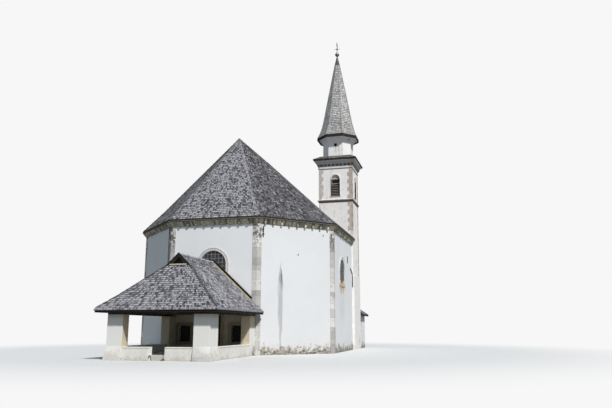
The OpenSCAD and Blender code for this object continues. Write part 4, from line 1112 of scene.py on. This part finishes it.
class CHAPEL_OT_windows(bpy.types.Operator):
    """Mould the frames of the round-headed nave windows and set bars before their panes"""
    bl_idname = "chapel.windows"
    bl_label = "Round-headed windows"

    def execute(self, context):
        sizes = context.scene.chapel_sizes
        frame_low, frame_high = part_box("arch_window_frames")
        outer = 1.08
        sill = frame_low.z + ARCH_BAND
        spring = frame_high.z - outer
        width = 2 * (outer - ARCH_BAND)
        places = [Matrix.Translation((0, -WALL_Y, 0))]
        places += [Matrix.Translation((side * WALL_X, SIDE_WINDOW_Y, 0))
                   @ Matrix.Rotation(math.radians(side * 90), 4, "Z") for side in (1, -1)]
        profile = [(0, 0), (0, 0.022), (0.03, 0.036), (0.055, 0.036), (0.07, 0.024), (0.14, 0.024), (0.155, 0.04),
                   (0.205, 0.04), (ARCH_BAND, 0.03), (ARCH_BAND, 0)]
        frames, bars = bmesh.new(), bmesh.new()
        for number, matrix in enumerate(places):
            bm, grid, ring = bmesh.new(), bmesh.new(), bmesh.new()
            moulding(bm, profile, width, sill, spring, 32)
            slab(bm, (-outer, -0.026, sill - ARCH_BAND), (outer, 0, sill), 0.008)
            lattice(grid, width, sill, spring, sizes.bar, sizes.arch_panes, 0.025)
            moulding(ring, [(-0.035, -0.02), (-0.035, -0.055), (0, -0.055), (0, -0.02)], width, sill, spring)
            pour(grid, ring)
            for shape, whole in ((bm, frames), (grid, bars)):
                if number == 0:
                    shape = above_porch_roof(shape)
                place(shape, shape.verts, matrix)
                pour(whole, shape)
        keep("window_mouldings", frames, "frame_stone", "stone", "arch_window_frames", tones=(31, 0.4, 0.6))
        keep("window_bars", bars, "zinc", "iron", tones=(32, 0.3, 0.7))
        return {"FINISHED"}


class CHAPEL_OT_entrance(bpy.types.Operator):
    """Make the two door leaves, the stone frames and the iron grilles inside the porch"""
    bl_idname = "chapel.entrance"
    bl_label = "Door and porch windows"

    def execute(self, context):
        softened("dressed_stone_frames", "stone_surrounds", "porch_stone", "stone", 0.01, segments=2)
        bm = merged_copy("entrance_door")
        soften(bm, 0.006)
        foot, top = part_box("entrance_door")
        front = foot.y
        for x in (-0.325, 0.325):
            for row in range(3):
                z = foot.z + (top.z - foot.z) * (0.11 + row * 0.31)
                slab(bm, (x - 0.12, front + 0.006, z), (x + 0.12, front + 0.03, z + 0.38), 0.012)
        slab(bm, (-0.035, front - 0.018, foot.z + 0.02), (0.035, front + 0.005, top.z - 0.02), 0.006)
        keep("door_leaves", bm, "dark_wood", "dark_timber", "entrance_door", tones=(41, 0.35, 0.6))

        bm = bmesh.new()
        for x in (-0.6, 0.6):
            for z in (0.75, 2.0):
                slab(bm, (x - 0.2, front - 0.012, z), (x + 0.03, front - 0.002, z + 0.05), 0.003)
        slab(bm, (0.06, front - 0.008, 1.2), (0.12, front - 0.001, 1.42), 0.003)
        pull = bmesh.new()
        shift(pull, bmesh.ops.create_circle(pull, segments=10, radius=0.011)["verts"], (0.045, 0, 0))
        sweep(pull, pull.edges[:], (0, 0, 0), Y, math.tau, 20, True)
        shift(pull, pull.verts, (0.09, front - 0.03, 1.28))
        pour(bm, pull)
        face_outwards(bm)

        bar = context.scene.chapel_sizes.grille_bar
        window_x, half, sill, tall = 1.74, 0.385, 0.8, 0.98
        y = -WALL_Y + 0.06
        for middle in (-window_x, window_x):
            x0, x1 = middle - half, middle + half
            for k in range(1, 6):
                x = x0 + (x1 - x0) * k / 6
                slab(bm, (x - bar / 2, y, sill), (x + bar / 2, y + bar, sill + tall), 0.003)
            for k in range(1, 6):
                z = sill + tall * k / 6
                slab(bm, (x0, y + 0.003, z - bar / 2), (x1, y + bar - 0.003, z + bar / 2), 0.003)
        keep("iron_fittings", bm, "iron", "iron")
        return {"FINISHED"}


class CHAPEL_OT_wall_irons(bpy.types.Operator):
    """Forge the bracket under the eaves and the lightning rod beside the porch"""
    bl_idname = "chapel.wall_irons"
    bl_label = "Wall bracket and lightning rod"

    def execute(self, context):
        bm = bmesh.new()
        right = (nave_corner(7), Vector((1, 1, 0)).normalized(), Vector((1, -1, 0)).normalized())
        left = (nave_corner(6), Vector((-1, 1, 0)).normalized(), Vector((-1, -1, 0)).normalized())

        def hang(verts, wall, distance, z=0.0):
            """Stands a shape against a diagonal wall, which is its corner, its direction and the way it faces"""
            corner, along, out = wall
            stand(bm, verts, along, out, Z, corner + along * distance + Vector((0, 0, z)))

        for z, reach, wide in ((7.92, 0.02, 0.05), (7.78, 0.05, 0.09), (7.62, 0.03, 0.05), (7.46, 0.06, 0.08),
                               (7.32, 0.02, 0.04)):
            hang(slab(bm, (-wide, 0, -0.045), (wide * 0.4, reach + 0.03, 0.045), 0.01), right, 0.42, z)
        hang(slab(bm, (-0.018, 0, 7.28), (0.018, 0.03, 7.98), 0.005), right, 0.42)

        rod = slab(bm, (-0.02, 0.03, 0.3), (0.02, 0.07, 8.12), 0.006)
        for k in range(9):
            rod += slab(bm, (-0.03, 0.0, 0.6 + k * 0.9), (0.03, 0.064, 0.63 + k * 0.9), 0.004)
        hang(rod, left, 0.34)

        for distance, z in ((4.9, 7.7), (2.97, 6.3)):
            hang(slab(bm, (-0.02, 0.0, -0.05), (0.02, 0.05, 0.05), 0.01), right, distance, z)
        slab(bm, (WALL_X, 1.51, 6.42), (WALL_X + 0.05, 1.55, 6.95), 0.01)
        slab(bm, (WALL_X + 0.01, TOWER_LOW.y - 0.05, 4.75), (WALL_X + 0.06, TOWER_LOW.y, 5.68), 0.01)
        start = Vector((WALL_X + 0.01, 2.67, 6.1))
        strut = Vector((0.0, TOWER_LOW.y - start.y, -0.36))
        verts = slab(bm, (0, 0, 0), (0.05, strut.length, 0.05), 0.01)
        turn(bm, verts, math.atan2(strut.z, strut.y), "X")
        shift(bm, verts, start)
        face_outwards(bm)
        keep("wall_irons", bm, "iron", "iron")
        return {"FINISHED"}


class CHAPEL_OT_porch(bpy.types.Operator):
    """Round the piers, low walls and slabs of the porch, and shape its timber edges"""
    bl_idname = "chapel.porch"
    bl_label = "Porch piers, low walls and timbers"

    def execute(self, context):
        softened("rounded_piers", "porch_piers", "piers", "plaster", 0.02, segments=2)
        softened("rounded_low_walls", "bench_walls", "bench", "bench_plaster", 0.015, segments=2)
        softened("worn_slabs", "bench_caps", "bench", "stone", 0.012, segments=2)
        # Painted shade: the fascias are near black for the shade under the shingles' edge
        softened("fascias_and_barge_boards", "porch_edge_boards", "tarred_wood", "dark_timber", 0.006,
                 (52, 0.0, 0.15))
        bm = bmesh.new()
        y, top = PORCH_FRONT + 2.0, PORCH_HIGH.z - 0.61
        slab(bm, (-0.52, y, top - 0.08), (0.52, y + 0.035, top), 0.006)
        keep("gablet_sill_board", bm, "pale_wood", "pale_timber", tones=(54, 0.35, 0.45))
        softened("roof_upstand", "wall_flashing", "tarred_wood", "dark_timber", 0.006, (53, 0.0, 0.1))
        return {"FINISHED"}


class CHAPEL_OT_porch_roof(bpy.types.Operator):
    """Lay split shingles over the porch roof, with hip boards and a ridge"""
    bl_idname = "chapel.porch_roof"
    bl_label = "Shingles of the porch roof"

    def execute(self, context):
        sizes = context.scene.chapel_sizes
        args = (sizes.porch_course, sizes.shingle_width, sizes.shingle_thickness, 1.12)
        half, back, ridge = PORCH_HIGH
        front, edge_z = PORCH_LOW.y, PORCH_LOW.z + 0.09
        kick = 0.22 * half
        kick_z = edge_z + kick * (ridge - edge_z) / half - 0.05
        slope = (ridge - kick_z) / (half - kick)
        gablet_y, gablet_h = PORCH_FRONT + 2.07, 0.69
        # The right hip from the eave up, and the front end of the ridge
        hip = [(half, front, edge_z), (half - kick, front + kick, kick_z),
               (gablet_h / slope, gablet_y, ridge - gablet_h), (0, gablet_y, ridge)]
        bm = shingle_mesh()
        for side in (-1, 1):
            for number, ((x0, y0, z0), (x1, y1, z1)) in enumerate(zip(hip, hip[1:])):
                a, b = (side * x0, y0, z0), (side * x0, back, z0)
                c, d = (side * x1, back, z1), (side * x1, y1, z1)
                corners = (a, b, c, d) if side > 0 else (b, a, d, c)
                shingle_slope(bm, corners, *args, 400 + 10 * number + side, 0.0 if number else 0.07)
        for number, ((x0, y0, z0), (x1, y1, z1)) in enumerate(zip(hip[:2], hip[1:])):
            corners = ((-x0, y0, z0), (x0, y0, z0), (x1, y1, z1), (-x1, y1, z1))
            shingle_slope(bm, corners, *args, 450 + number, 0.0 if number else 0.07)
        keep("porch_shingles", bm, "shingles", "shingles")

        caps = shingle_mesh()
        for side in (-1, 1):
            points = [Vector((side * x, y, z)) for x, y, z in hip[:3]]
            for number, (a, b) in enumerate(zip(points, points[1:])):
                rise = b - a
                front_way = Vector((0, -rise.z, rise.y)).normalized()
                side_way = Vector((side * rise.z, 0, abs(rise.x))).normalized()
                lay_caps(caps, a if number else a.lerp(b, 0.14), b, front_way, side_way, 0.065, 0.32, 0.022, 0.4,
                         460 + 10 * number + side)
        ways = [Vector((side * slope, 0, 1)).normalized() for side in (-1, 1)]
        lay_caps(caps, Vector((0, gablet_y, ridge)), Vector((0, back, ridge)), *ways, 0.17, 0.4, 0.024, 1.6, 480)
        keep("porch_hip_boards", caps, "shingles", "shingles")

        def wall_boards(name, material, slot, start_x, stop_x, boards, tones):
            """Boards that go up the wall beside the roof. Each is (cut, y, z, y, z, edge), and cut shortens it."""
            bm = bmesh.new()
            for side, way in zip((-1, 1), ways):
                start, stop = [Vector((side * x, back, ridge - x * slope)) for x in (start_x, stop_x)]
                verts = []
                for cut, y0, z0, y1, z1, edge in boards:
                    verts += slab(bm, (0, y0, z0), ((stop - start).length - cut, y1, z1), edge)
                stand(bm, verts, (stop - start).normalized(), -Y, way, start)
            face_outwards(bm)
            keep(name, bm, material, slot, tones=tones)

        wall_boards("mossy_wall_strip", "mossy_wood", "pale_timber", half - kick, 0.12,
                    [(0, 0.06, 0.01, 0.22, 0.045, 0.004), (0.2, 0.225, 0.006, 0.36, 0.036, 0.004)], (55, 0.4, 0.65))
        wall_boards("upstand_cap_boards", "tarred_wood", "dark_timber", half - kick - 0.1, 0,
                    [(0, 0.0, 0.12, 0.10, 0.165, 0.006)], (57, 0.1, 0.2))
        return {"FINISHED"}


class CHAPEL_OT_tower(bpy.types.Operator):
    """Build the tower's corner stones, window mouldings, louvres, tracery and consoles"""
    bl_idname = "chapel.tower"
    bl_label = "Tower stonework and bell windows"

    def execute(self, context):
        bm = merged_copy("tower_quoins")
        soften(bm, 0.006)
        tint(bm, 61, 0.2, 0.95)
        tone = bm.faces.layers.float["tone"]
        for face in bm.faces:
            if face.calc_center_median().x < TOWER_MID.x:
                face[tone] = 0.55 + 0.45 * face[tone]
        keep("tower_corner_stones", bm, "tower_stone", "stone", "tower_quoins")

        frame_low, frame_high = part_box("belfry_frames")
        band, half = 0.095, 0.33
        sill = frame_low.z + band
        spring = frame_high.z - half - band
        frames, tracery, shutters = bmesh.new(), bmesh.new(), bmesh.new()
        for matrix in tower_faces():
            one, fan, boards = bmesh.new(), bmesh.new(), bmesh.new()
            moulding(one, [(0, 0), (0, 0.02), (0.02, 0.035), (0.07, 0.035), (0.085, 0.02), (band, 0.0)],
                     2 * half, sill, spring, 20)
            slab(one, (-half - band - 0.03, -0.035, sill - band), (half + band + 0.03, 0, sill), 0.008)

            for k in range(1, 6):
                verts = slab(fan, (0.07, 0.10, -0.011), (half + 0.02, 0.125, 0.011))
                turn(fan, verts, -math.pi * k / 6, "Y")
                shift(fan, verts, (0, 0, spring))
            for radius in (0.08, 0.14, 0.2, 0.26, half - 0.015):
                loop = bmesh.new()
                moulding(loop, [(0, -0.10), (0, -0.125), (0.024, -0.125), (0.024, -0.10)], 2 * radius - 0.024,
                         spring - 0.001, spring, 16)
                pour(fan, loop)
            slab(fan, (-half, 0.095, spring - 0.02), (half, 0.13, spring + 0.02))

            for k in range(3):
                slab(boards, (-half + k * 0.22, 0.24, sill), (-half + k * 0.22 + 0.215, 0.27, spring - 0.36), 0.004)
            for low_x, high_x in ((-half - 0.045, -half + 0.02), (half - 0.02, half + 0.045)):
                slab(boards, (low_x, -0.04, sill - 0.02), (high_x, 0.03, spring + 0.02), 0.006)
            slab(boards, (-half - 0.045, -0.048, sill - 0.045), (half + 0.045, 0.03, sill + 0.01), 0.006)

            for part, whole in ((one, frames), (fan, tracery), (boards, shutters)):
                place(part, part.verts, matrix)
                pour(whole, part)
        keep("bell_window_mouldings", frames, "frame_stone", "stone", "belfry_frames", tones=(62, 0.45, 0.65))
        keep("bell_window_tracery", tracery, "pale_wood", "pale_timber", tones=(63, 0.9, 1.0))
        keep("bell_window_shutter_frames", shutters, "tarred_wood", "dark_timber", tones=(67, 0.1, 0.4))
        softened("louvre_boards", "belfry_louvres", "louvre_wood", "dark_timber", 0.004, (64, 0.5, 1.0))

        drum_low, drum_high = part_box("drum")
        # Painted shade: a near-black tube with a closed back in each oculus stands for the dark inside of the drum
        linings = bmesh.new()
        for k in range(4):
            tube = bmesh.new()
            bmesh.ops.create_circle(tube, segments=24, radius=0.126)
            inner = verts_of(bmesh.ops.extrude_edge_only(tube, edges=tube.edges[:]))
            shift(tube, inner, (0, 0, -0.12))
            back_edge = [e for e in tube.edges if all(v in inner for v in e.verts)]
            bmesh.ops.contextual_create(tube, geom=inner + back_edge)
            shift(tube, tube.verts, (0, 0, (drum_high.x - drum_low.x) / 2 - 0.004))
            sideways = Matrix.Rotation(math.radians(90 * k), 4, "Z") @ Matrix.Rotation(math.radians(90), 4, "X")
            place(tube, tube.verts, Matrix.Translation(TOWER_FOOT + Z * (drum_low.z + 0.96)) @ sideways)
            pour(linings, tube)
        keep("oculus_linings", linings, "soot", "dark_timber", tones=(66, 0.2, 0.4))
        softened("rounded_consoles", "cornice_consoles", "tower_stone", "plaster", 0.01, (65, 0.35, 0.6))
        return {"FINISHED"}


def spire_radius(share):
    """Half width of the spire at a share of its height, like the frame's"""
    top, eave, flared = 0.21, 1.65, 0.14
    straight = top + (eave * (1 - flared) - top) * (1 - share)
    return straight + eave * flared * max(0.0, 1 - share / 0.2) ** 2


class CHAPEL_OT_spire(bpy.types.Operator):
    """Lay shingles on the eight faces of the spire and on the low roof around the drum"""
    bl_idname = "chapel.spire"
    bl_label = "Shingles of the spire"

    def execute(self, context):
        sizes = context.scene.chapel_sizes
        spire_low, spire_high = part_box("spire")
        foot = spire_low.z + 0.07
        tall = spire_high.z - foot
        bm = shingle_mesh()
        rows = round(tall * 1.03 / sizes.spire_course)
        for side in range(8):
            bearing = Matrix.Rotation(2 * EIGHTH * side, 3, "Z")
            rng = random.Random(500 + side)
            for k in range(rows):
                s0, s1 = k / rows, (k + 1) / rows
                r0, r1 = spire_radius(s0) - (0.0 if k else 0.015), spire_radius(s1)
                ends = [TOWER_FOOT + bearing @ Vector((r, r * edge * math.tan(EIGHTH), foot + tall * s))
                        for r, s in ((r0, s0), (r1, s1)) for edge in (-1, 1)]
                normal = (ends[1] - ends[0]).cross(ends[2] - ends[0]).normalized()
                # Painted shade near the eave: the lower part of the spire is darker
                tone = rng.uniform(0.93, 1.07) * (0.93 + 0.2 * min(1.0, s0 / 0.3))
                # Painted shade on the lower ends of the spire's shingles, which face down
                shingle_course(bm, ends, normal, sizes.shingle_width, 0.02, 0.012, tone, rng, 0.4, 0.3)
        keep("spire_shingles", bm, "spire_shingles", "spire_shingles")

        caps = shingle_mesh()
        for side in range(8):
            angle = 2 * EIGHTH * side + EIGHTH
            hip = []
            for share in (0.01, 0.03, 0.07, 0.12, 0.2, 0.6, 1.0):
                r = spire_radius(share) / math.cos(EIGHTH)
                hip.append(TOWER_FOOT + Vector((r * math.cos(angle), r * math.sin(angle), foot + tall * share)))
            for a, b in zip(hip, hip[1:]):
                ways = []
                for bearing in (angle - EIGHTH, angle + EIGHTH):
                    flat = Vector((math.cos(bearing), math.sin(bearing), 0))
                    normal = (b - a).cross(Z.cross(flat)).normalized()
                    ways.append(normal if normal.dot(flat) > 0 else -normal)
                lay_caps(caps, a, b, *ways, 0.05, 0.4, 0.012, 0.85, 520 + side, 0.012)
        keep("spire_hip_boards", caps, "spire_shingles", "spire_shingles")

        skirt_low, skirt_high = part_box("skirt_roof")
        out, inner = skirt_high.x - TOWER_MID.x, 1.205
        bm = shingle_mesh()
        for k in range(4):
            bearing = Matrix.Rotation(math.radians(90 * k), 3, "Z")
            edge_z = skirt_low.z + 0.06
            corners = [TOWER_FOOT + bearing @ Vector((r, side * r, z))
                       for r, side, z in ((out, -1, edge_z), (out, 1, edge_z), (inner, 1, skirt_high.z),
                                          (inner, -1, skirt_high.z))]
            shingle_slope(bm, corners, sizes.spire_course, sizes.shingle_width, 0.018, 0.34, 540 + k, 0.04)
        keep("skirt_shingles", bm, "spire_shingles", "shingles")

        # Painted shade: a near-black board round the spire's eave for the dark band under it
        band = bmesh.new()
        reach = spire_radius(0) - 0.002
        outline = [(reach - 0.04, -0.15), (reach, -0.15), (reach + 0.012, -0.138), (reach + 0.012, 0.095),
                   (reach - 0.03, 0.095), (reach - 0.04, -0.15)]
        lathe(band, [(r / math.cos(EIGHTH), spire_low.z + z) for r, z in outline], TOWER_FOOT, 8)
        turn(band, band.verts, EIGHTH, "Z", TOWER_FOOT)
        keep("spire_eave_board", band, "tarred_wood", "dark_timber", tones=(56, 0.2, 0.3))
        return {"FINISHED"}


class CHAPEL_OT_finial(bpy.types.Operator):
    """Shape the metal cap, the copper ball and the iron cross"""
    bl_idname = "chapel.finial"
    bl_label = "Cap, ball and cross"

    def execute(self, context):
        cap_low, cap_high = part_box("spire_cap")
        bm = bmesh.new()
        outline = [(0.238, 0.0), (0.245, 0.03), (0.225, 0.05), (0.04, 0.86), (0.055, 0.88), (0.0, 0.885)]
        lathe(bm, [(r, cap_low.z + z) for r, z in outline], TOWER_FOOT, 24)
        keep("cap", bm, "dull_zinc", "copper", "spire_cap")

        bm = bmesh.new()
        ball = 0.18
        lower = [(ball * math.cos(math.radians(a)), ball * math.sin(math.radians(a))) for a in range(-75, 0, 15)]
        seam = [(ball, -0.012), (ball + 0.003, 0.0), (ball, 0.012)]
        upper = [(r, -z) for r, z in reversed(lower)]
        outline = [(0.0, -ball), *lower, *seam, *upper, (0.0, ball)]
        lathe(bm, [(r, cap_high.z - ball + z) for r, z in outline], TOWER_FOOT, 32)
        for f in bm.faces:
            f.smooth = True
        keep("ball", bm, "copper", "copper", "spire_cap")

        bm = merged_copy("spire_cross")
        soften(bm, 0.004, 0.7)
        keep("cross", bm, "iron", "iron", "spire_cross")
        return {"FINISHED"}


class CHAPEL_OT_annex(bpy.types.Operator):
    """Lay shingles on the annex roof and frame its window"""
    bl_idname = "chapel.annex"
    bl_label = "Annex roof and window"

    def execute(self, context):
        sizes = context.scene.chapel_sizes
        roof_low, roof_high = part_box("annex_roof")
        mid_x = (roof_low.x + roof_high.x) / 2
        slope = 0.65
        eave_z = roof_high.z - slope * (roof_high.x - mid_x)
        bm = shingle_mesh()
        y0, y1 = roof_low.y, roof_high.y - 0.005
        ridge = [Vector((mid_x, y, roof_high.z)) for y in (y0, y1)]
        for number, (x, a, b) in enumerate(((roof_high.x - 0.02, y0, y1), (roof_low.x + 0.02, y1, y0))):
            corners = ((x, a, eave_z), (x, b, eave_z), (mid_x, b, roof_high.z), (mid_x, a, roof_high.z))
            shingle_slope(bm, corners, sizes.porch_course, sizes.shingle_width, sizes.shingle_thickness, 1.6,
                          600 + number)
        keep("annex_shingles", bm, "shingles", "shingles")
        caps = shingle_mesh()
        ways = [Vector((side * slope, 0, 1)).normalized() for side in (-1, 1)]
        lay_caps(caps, *ridge, *ways, 0.15, 0.4, 0.022, 1.3, 610)
        keep("annex_ridge_boards", caps, "shingles", "shingles")

        x, rim = TOWER_HIGH.x, 0.07
        y0, y1, z0, z1 = 6.49, 7.05, 1.49, 2.25
        bm = bmesh.new()
        for ya, yb, za, zb in ((y0 - rim, y1 + rim, z0 - rim, z0), (y0 - rim, y1 + rim, z1, z1 + rim),
                               (y0 - rim, y0, z0, z1), (y1, y1 + rim, z0, z1)):
            slab(bm, (x, ya, za), (x + 0.02, yb, zb), 0.004)
        keep("annex_window_frame", bm, "frame_stone", "stone", tones=(71, 0.4, 0.6))
        bm = bmesh.new()
        for k in range(1, 5):
            y = y0 + (y1 - y0) * k / 5
            slab(bm, (x - 0.08, y - 0.011, z0), (x - 0.058, y + 0.011, z1), 0.002)
        for k in range(1, 4):
            z = z0 + (z1 - z0) * k / 4
            slab(bm, (x - 0.078, y0, z - 0.01), (x - 0.06, y1, z + 0.01), 0.002)
        keep("annex_grille", bm, "iron", "iron")
        return {"FINISHED"}


# Add-on

PIECES = (CHAPEL_OT_stage, CHAPEL_OT_walls, CHAPEL_OT_quoins, CHAPEL_OT_eaves, CHAPEL_OT_nave_roof,
          CHAPEL_OT_windows, CHAPEL_OT_entrance, CHAPEL_OT_wall_irons, CHAPEL_OT_porch, CHAPEL_OT_porch_roof,
          CHAPEL_OT_tower, CHAPEL_OT_spire, CHAPEL_OT_finial, CHAPEL_OT_annex)


class CHAPEL_PT_panel(bpy.types.Panel):
    """Sizes, colours and pieces of the chapel"""
    bl_idname = "CHAPEL_PT_panel"
    bl_label = "Chapel"
    bl_space_type = "VIEW_3D"
    bl_region_type = "UI"
    bl_category = "Chapel"

    def draw(self, context):
        for group in (context.scene.chapel_sizes, context.scene.chapel_colours):
            box = self.layout.box()
            for name in group.bl_rna.properties.keys():
                if name not in ("rna_type", "name"):
                    box.prop(group, name)
        for piece in PIECES:
            self.layout.operator(piece.bl_idname)


CLASSES = (ChapelSizes, ChapelColours, *PIECES, CHAPEL_PT_panel)


def register():
    for cls in CLASSES:
        bpy.utils.register_class(cls)
    bpy.types.Scene.chapel_sizes = PointerProperty(type=ChapelSizes)
    bpy.types.Scene.chapel_colours = PointerProperty(type=ChapelColours)


def unregister():
    del bpy.types.Scene.chapel_colours
    del bpy.types.Scene.chapel_sizes
    for cls in reversed(CLASSES):
        bpy.utils.unregister_class(cls)


def main():
    register()
    bpy.ops.chapel.stage()
    bpy.ops.chapel.walls()
    bpy.ops.chapel.quoins()
    bpy.ops.chapel.eaves()
    bpy.ops.chapel.nave_roof()
    bpy.ops.chapel.windows()
    bpy.ops.chapel.entrance()
    bpy.ops.chapel.wall_irons()
    bpy.ops.chapel.porch()
    bpy.ops.chapel.porch_roof()
    bpy.ops.chapel.tower()
    bpy.ops.chapel.spire()
    bpy.ops.chapel.finial()
    bpy.ops.chapel.annex()


if __name__ == "__main__":
    main()
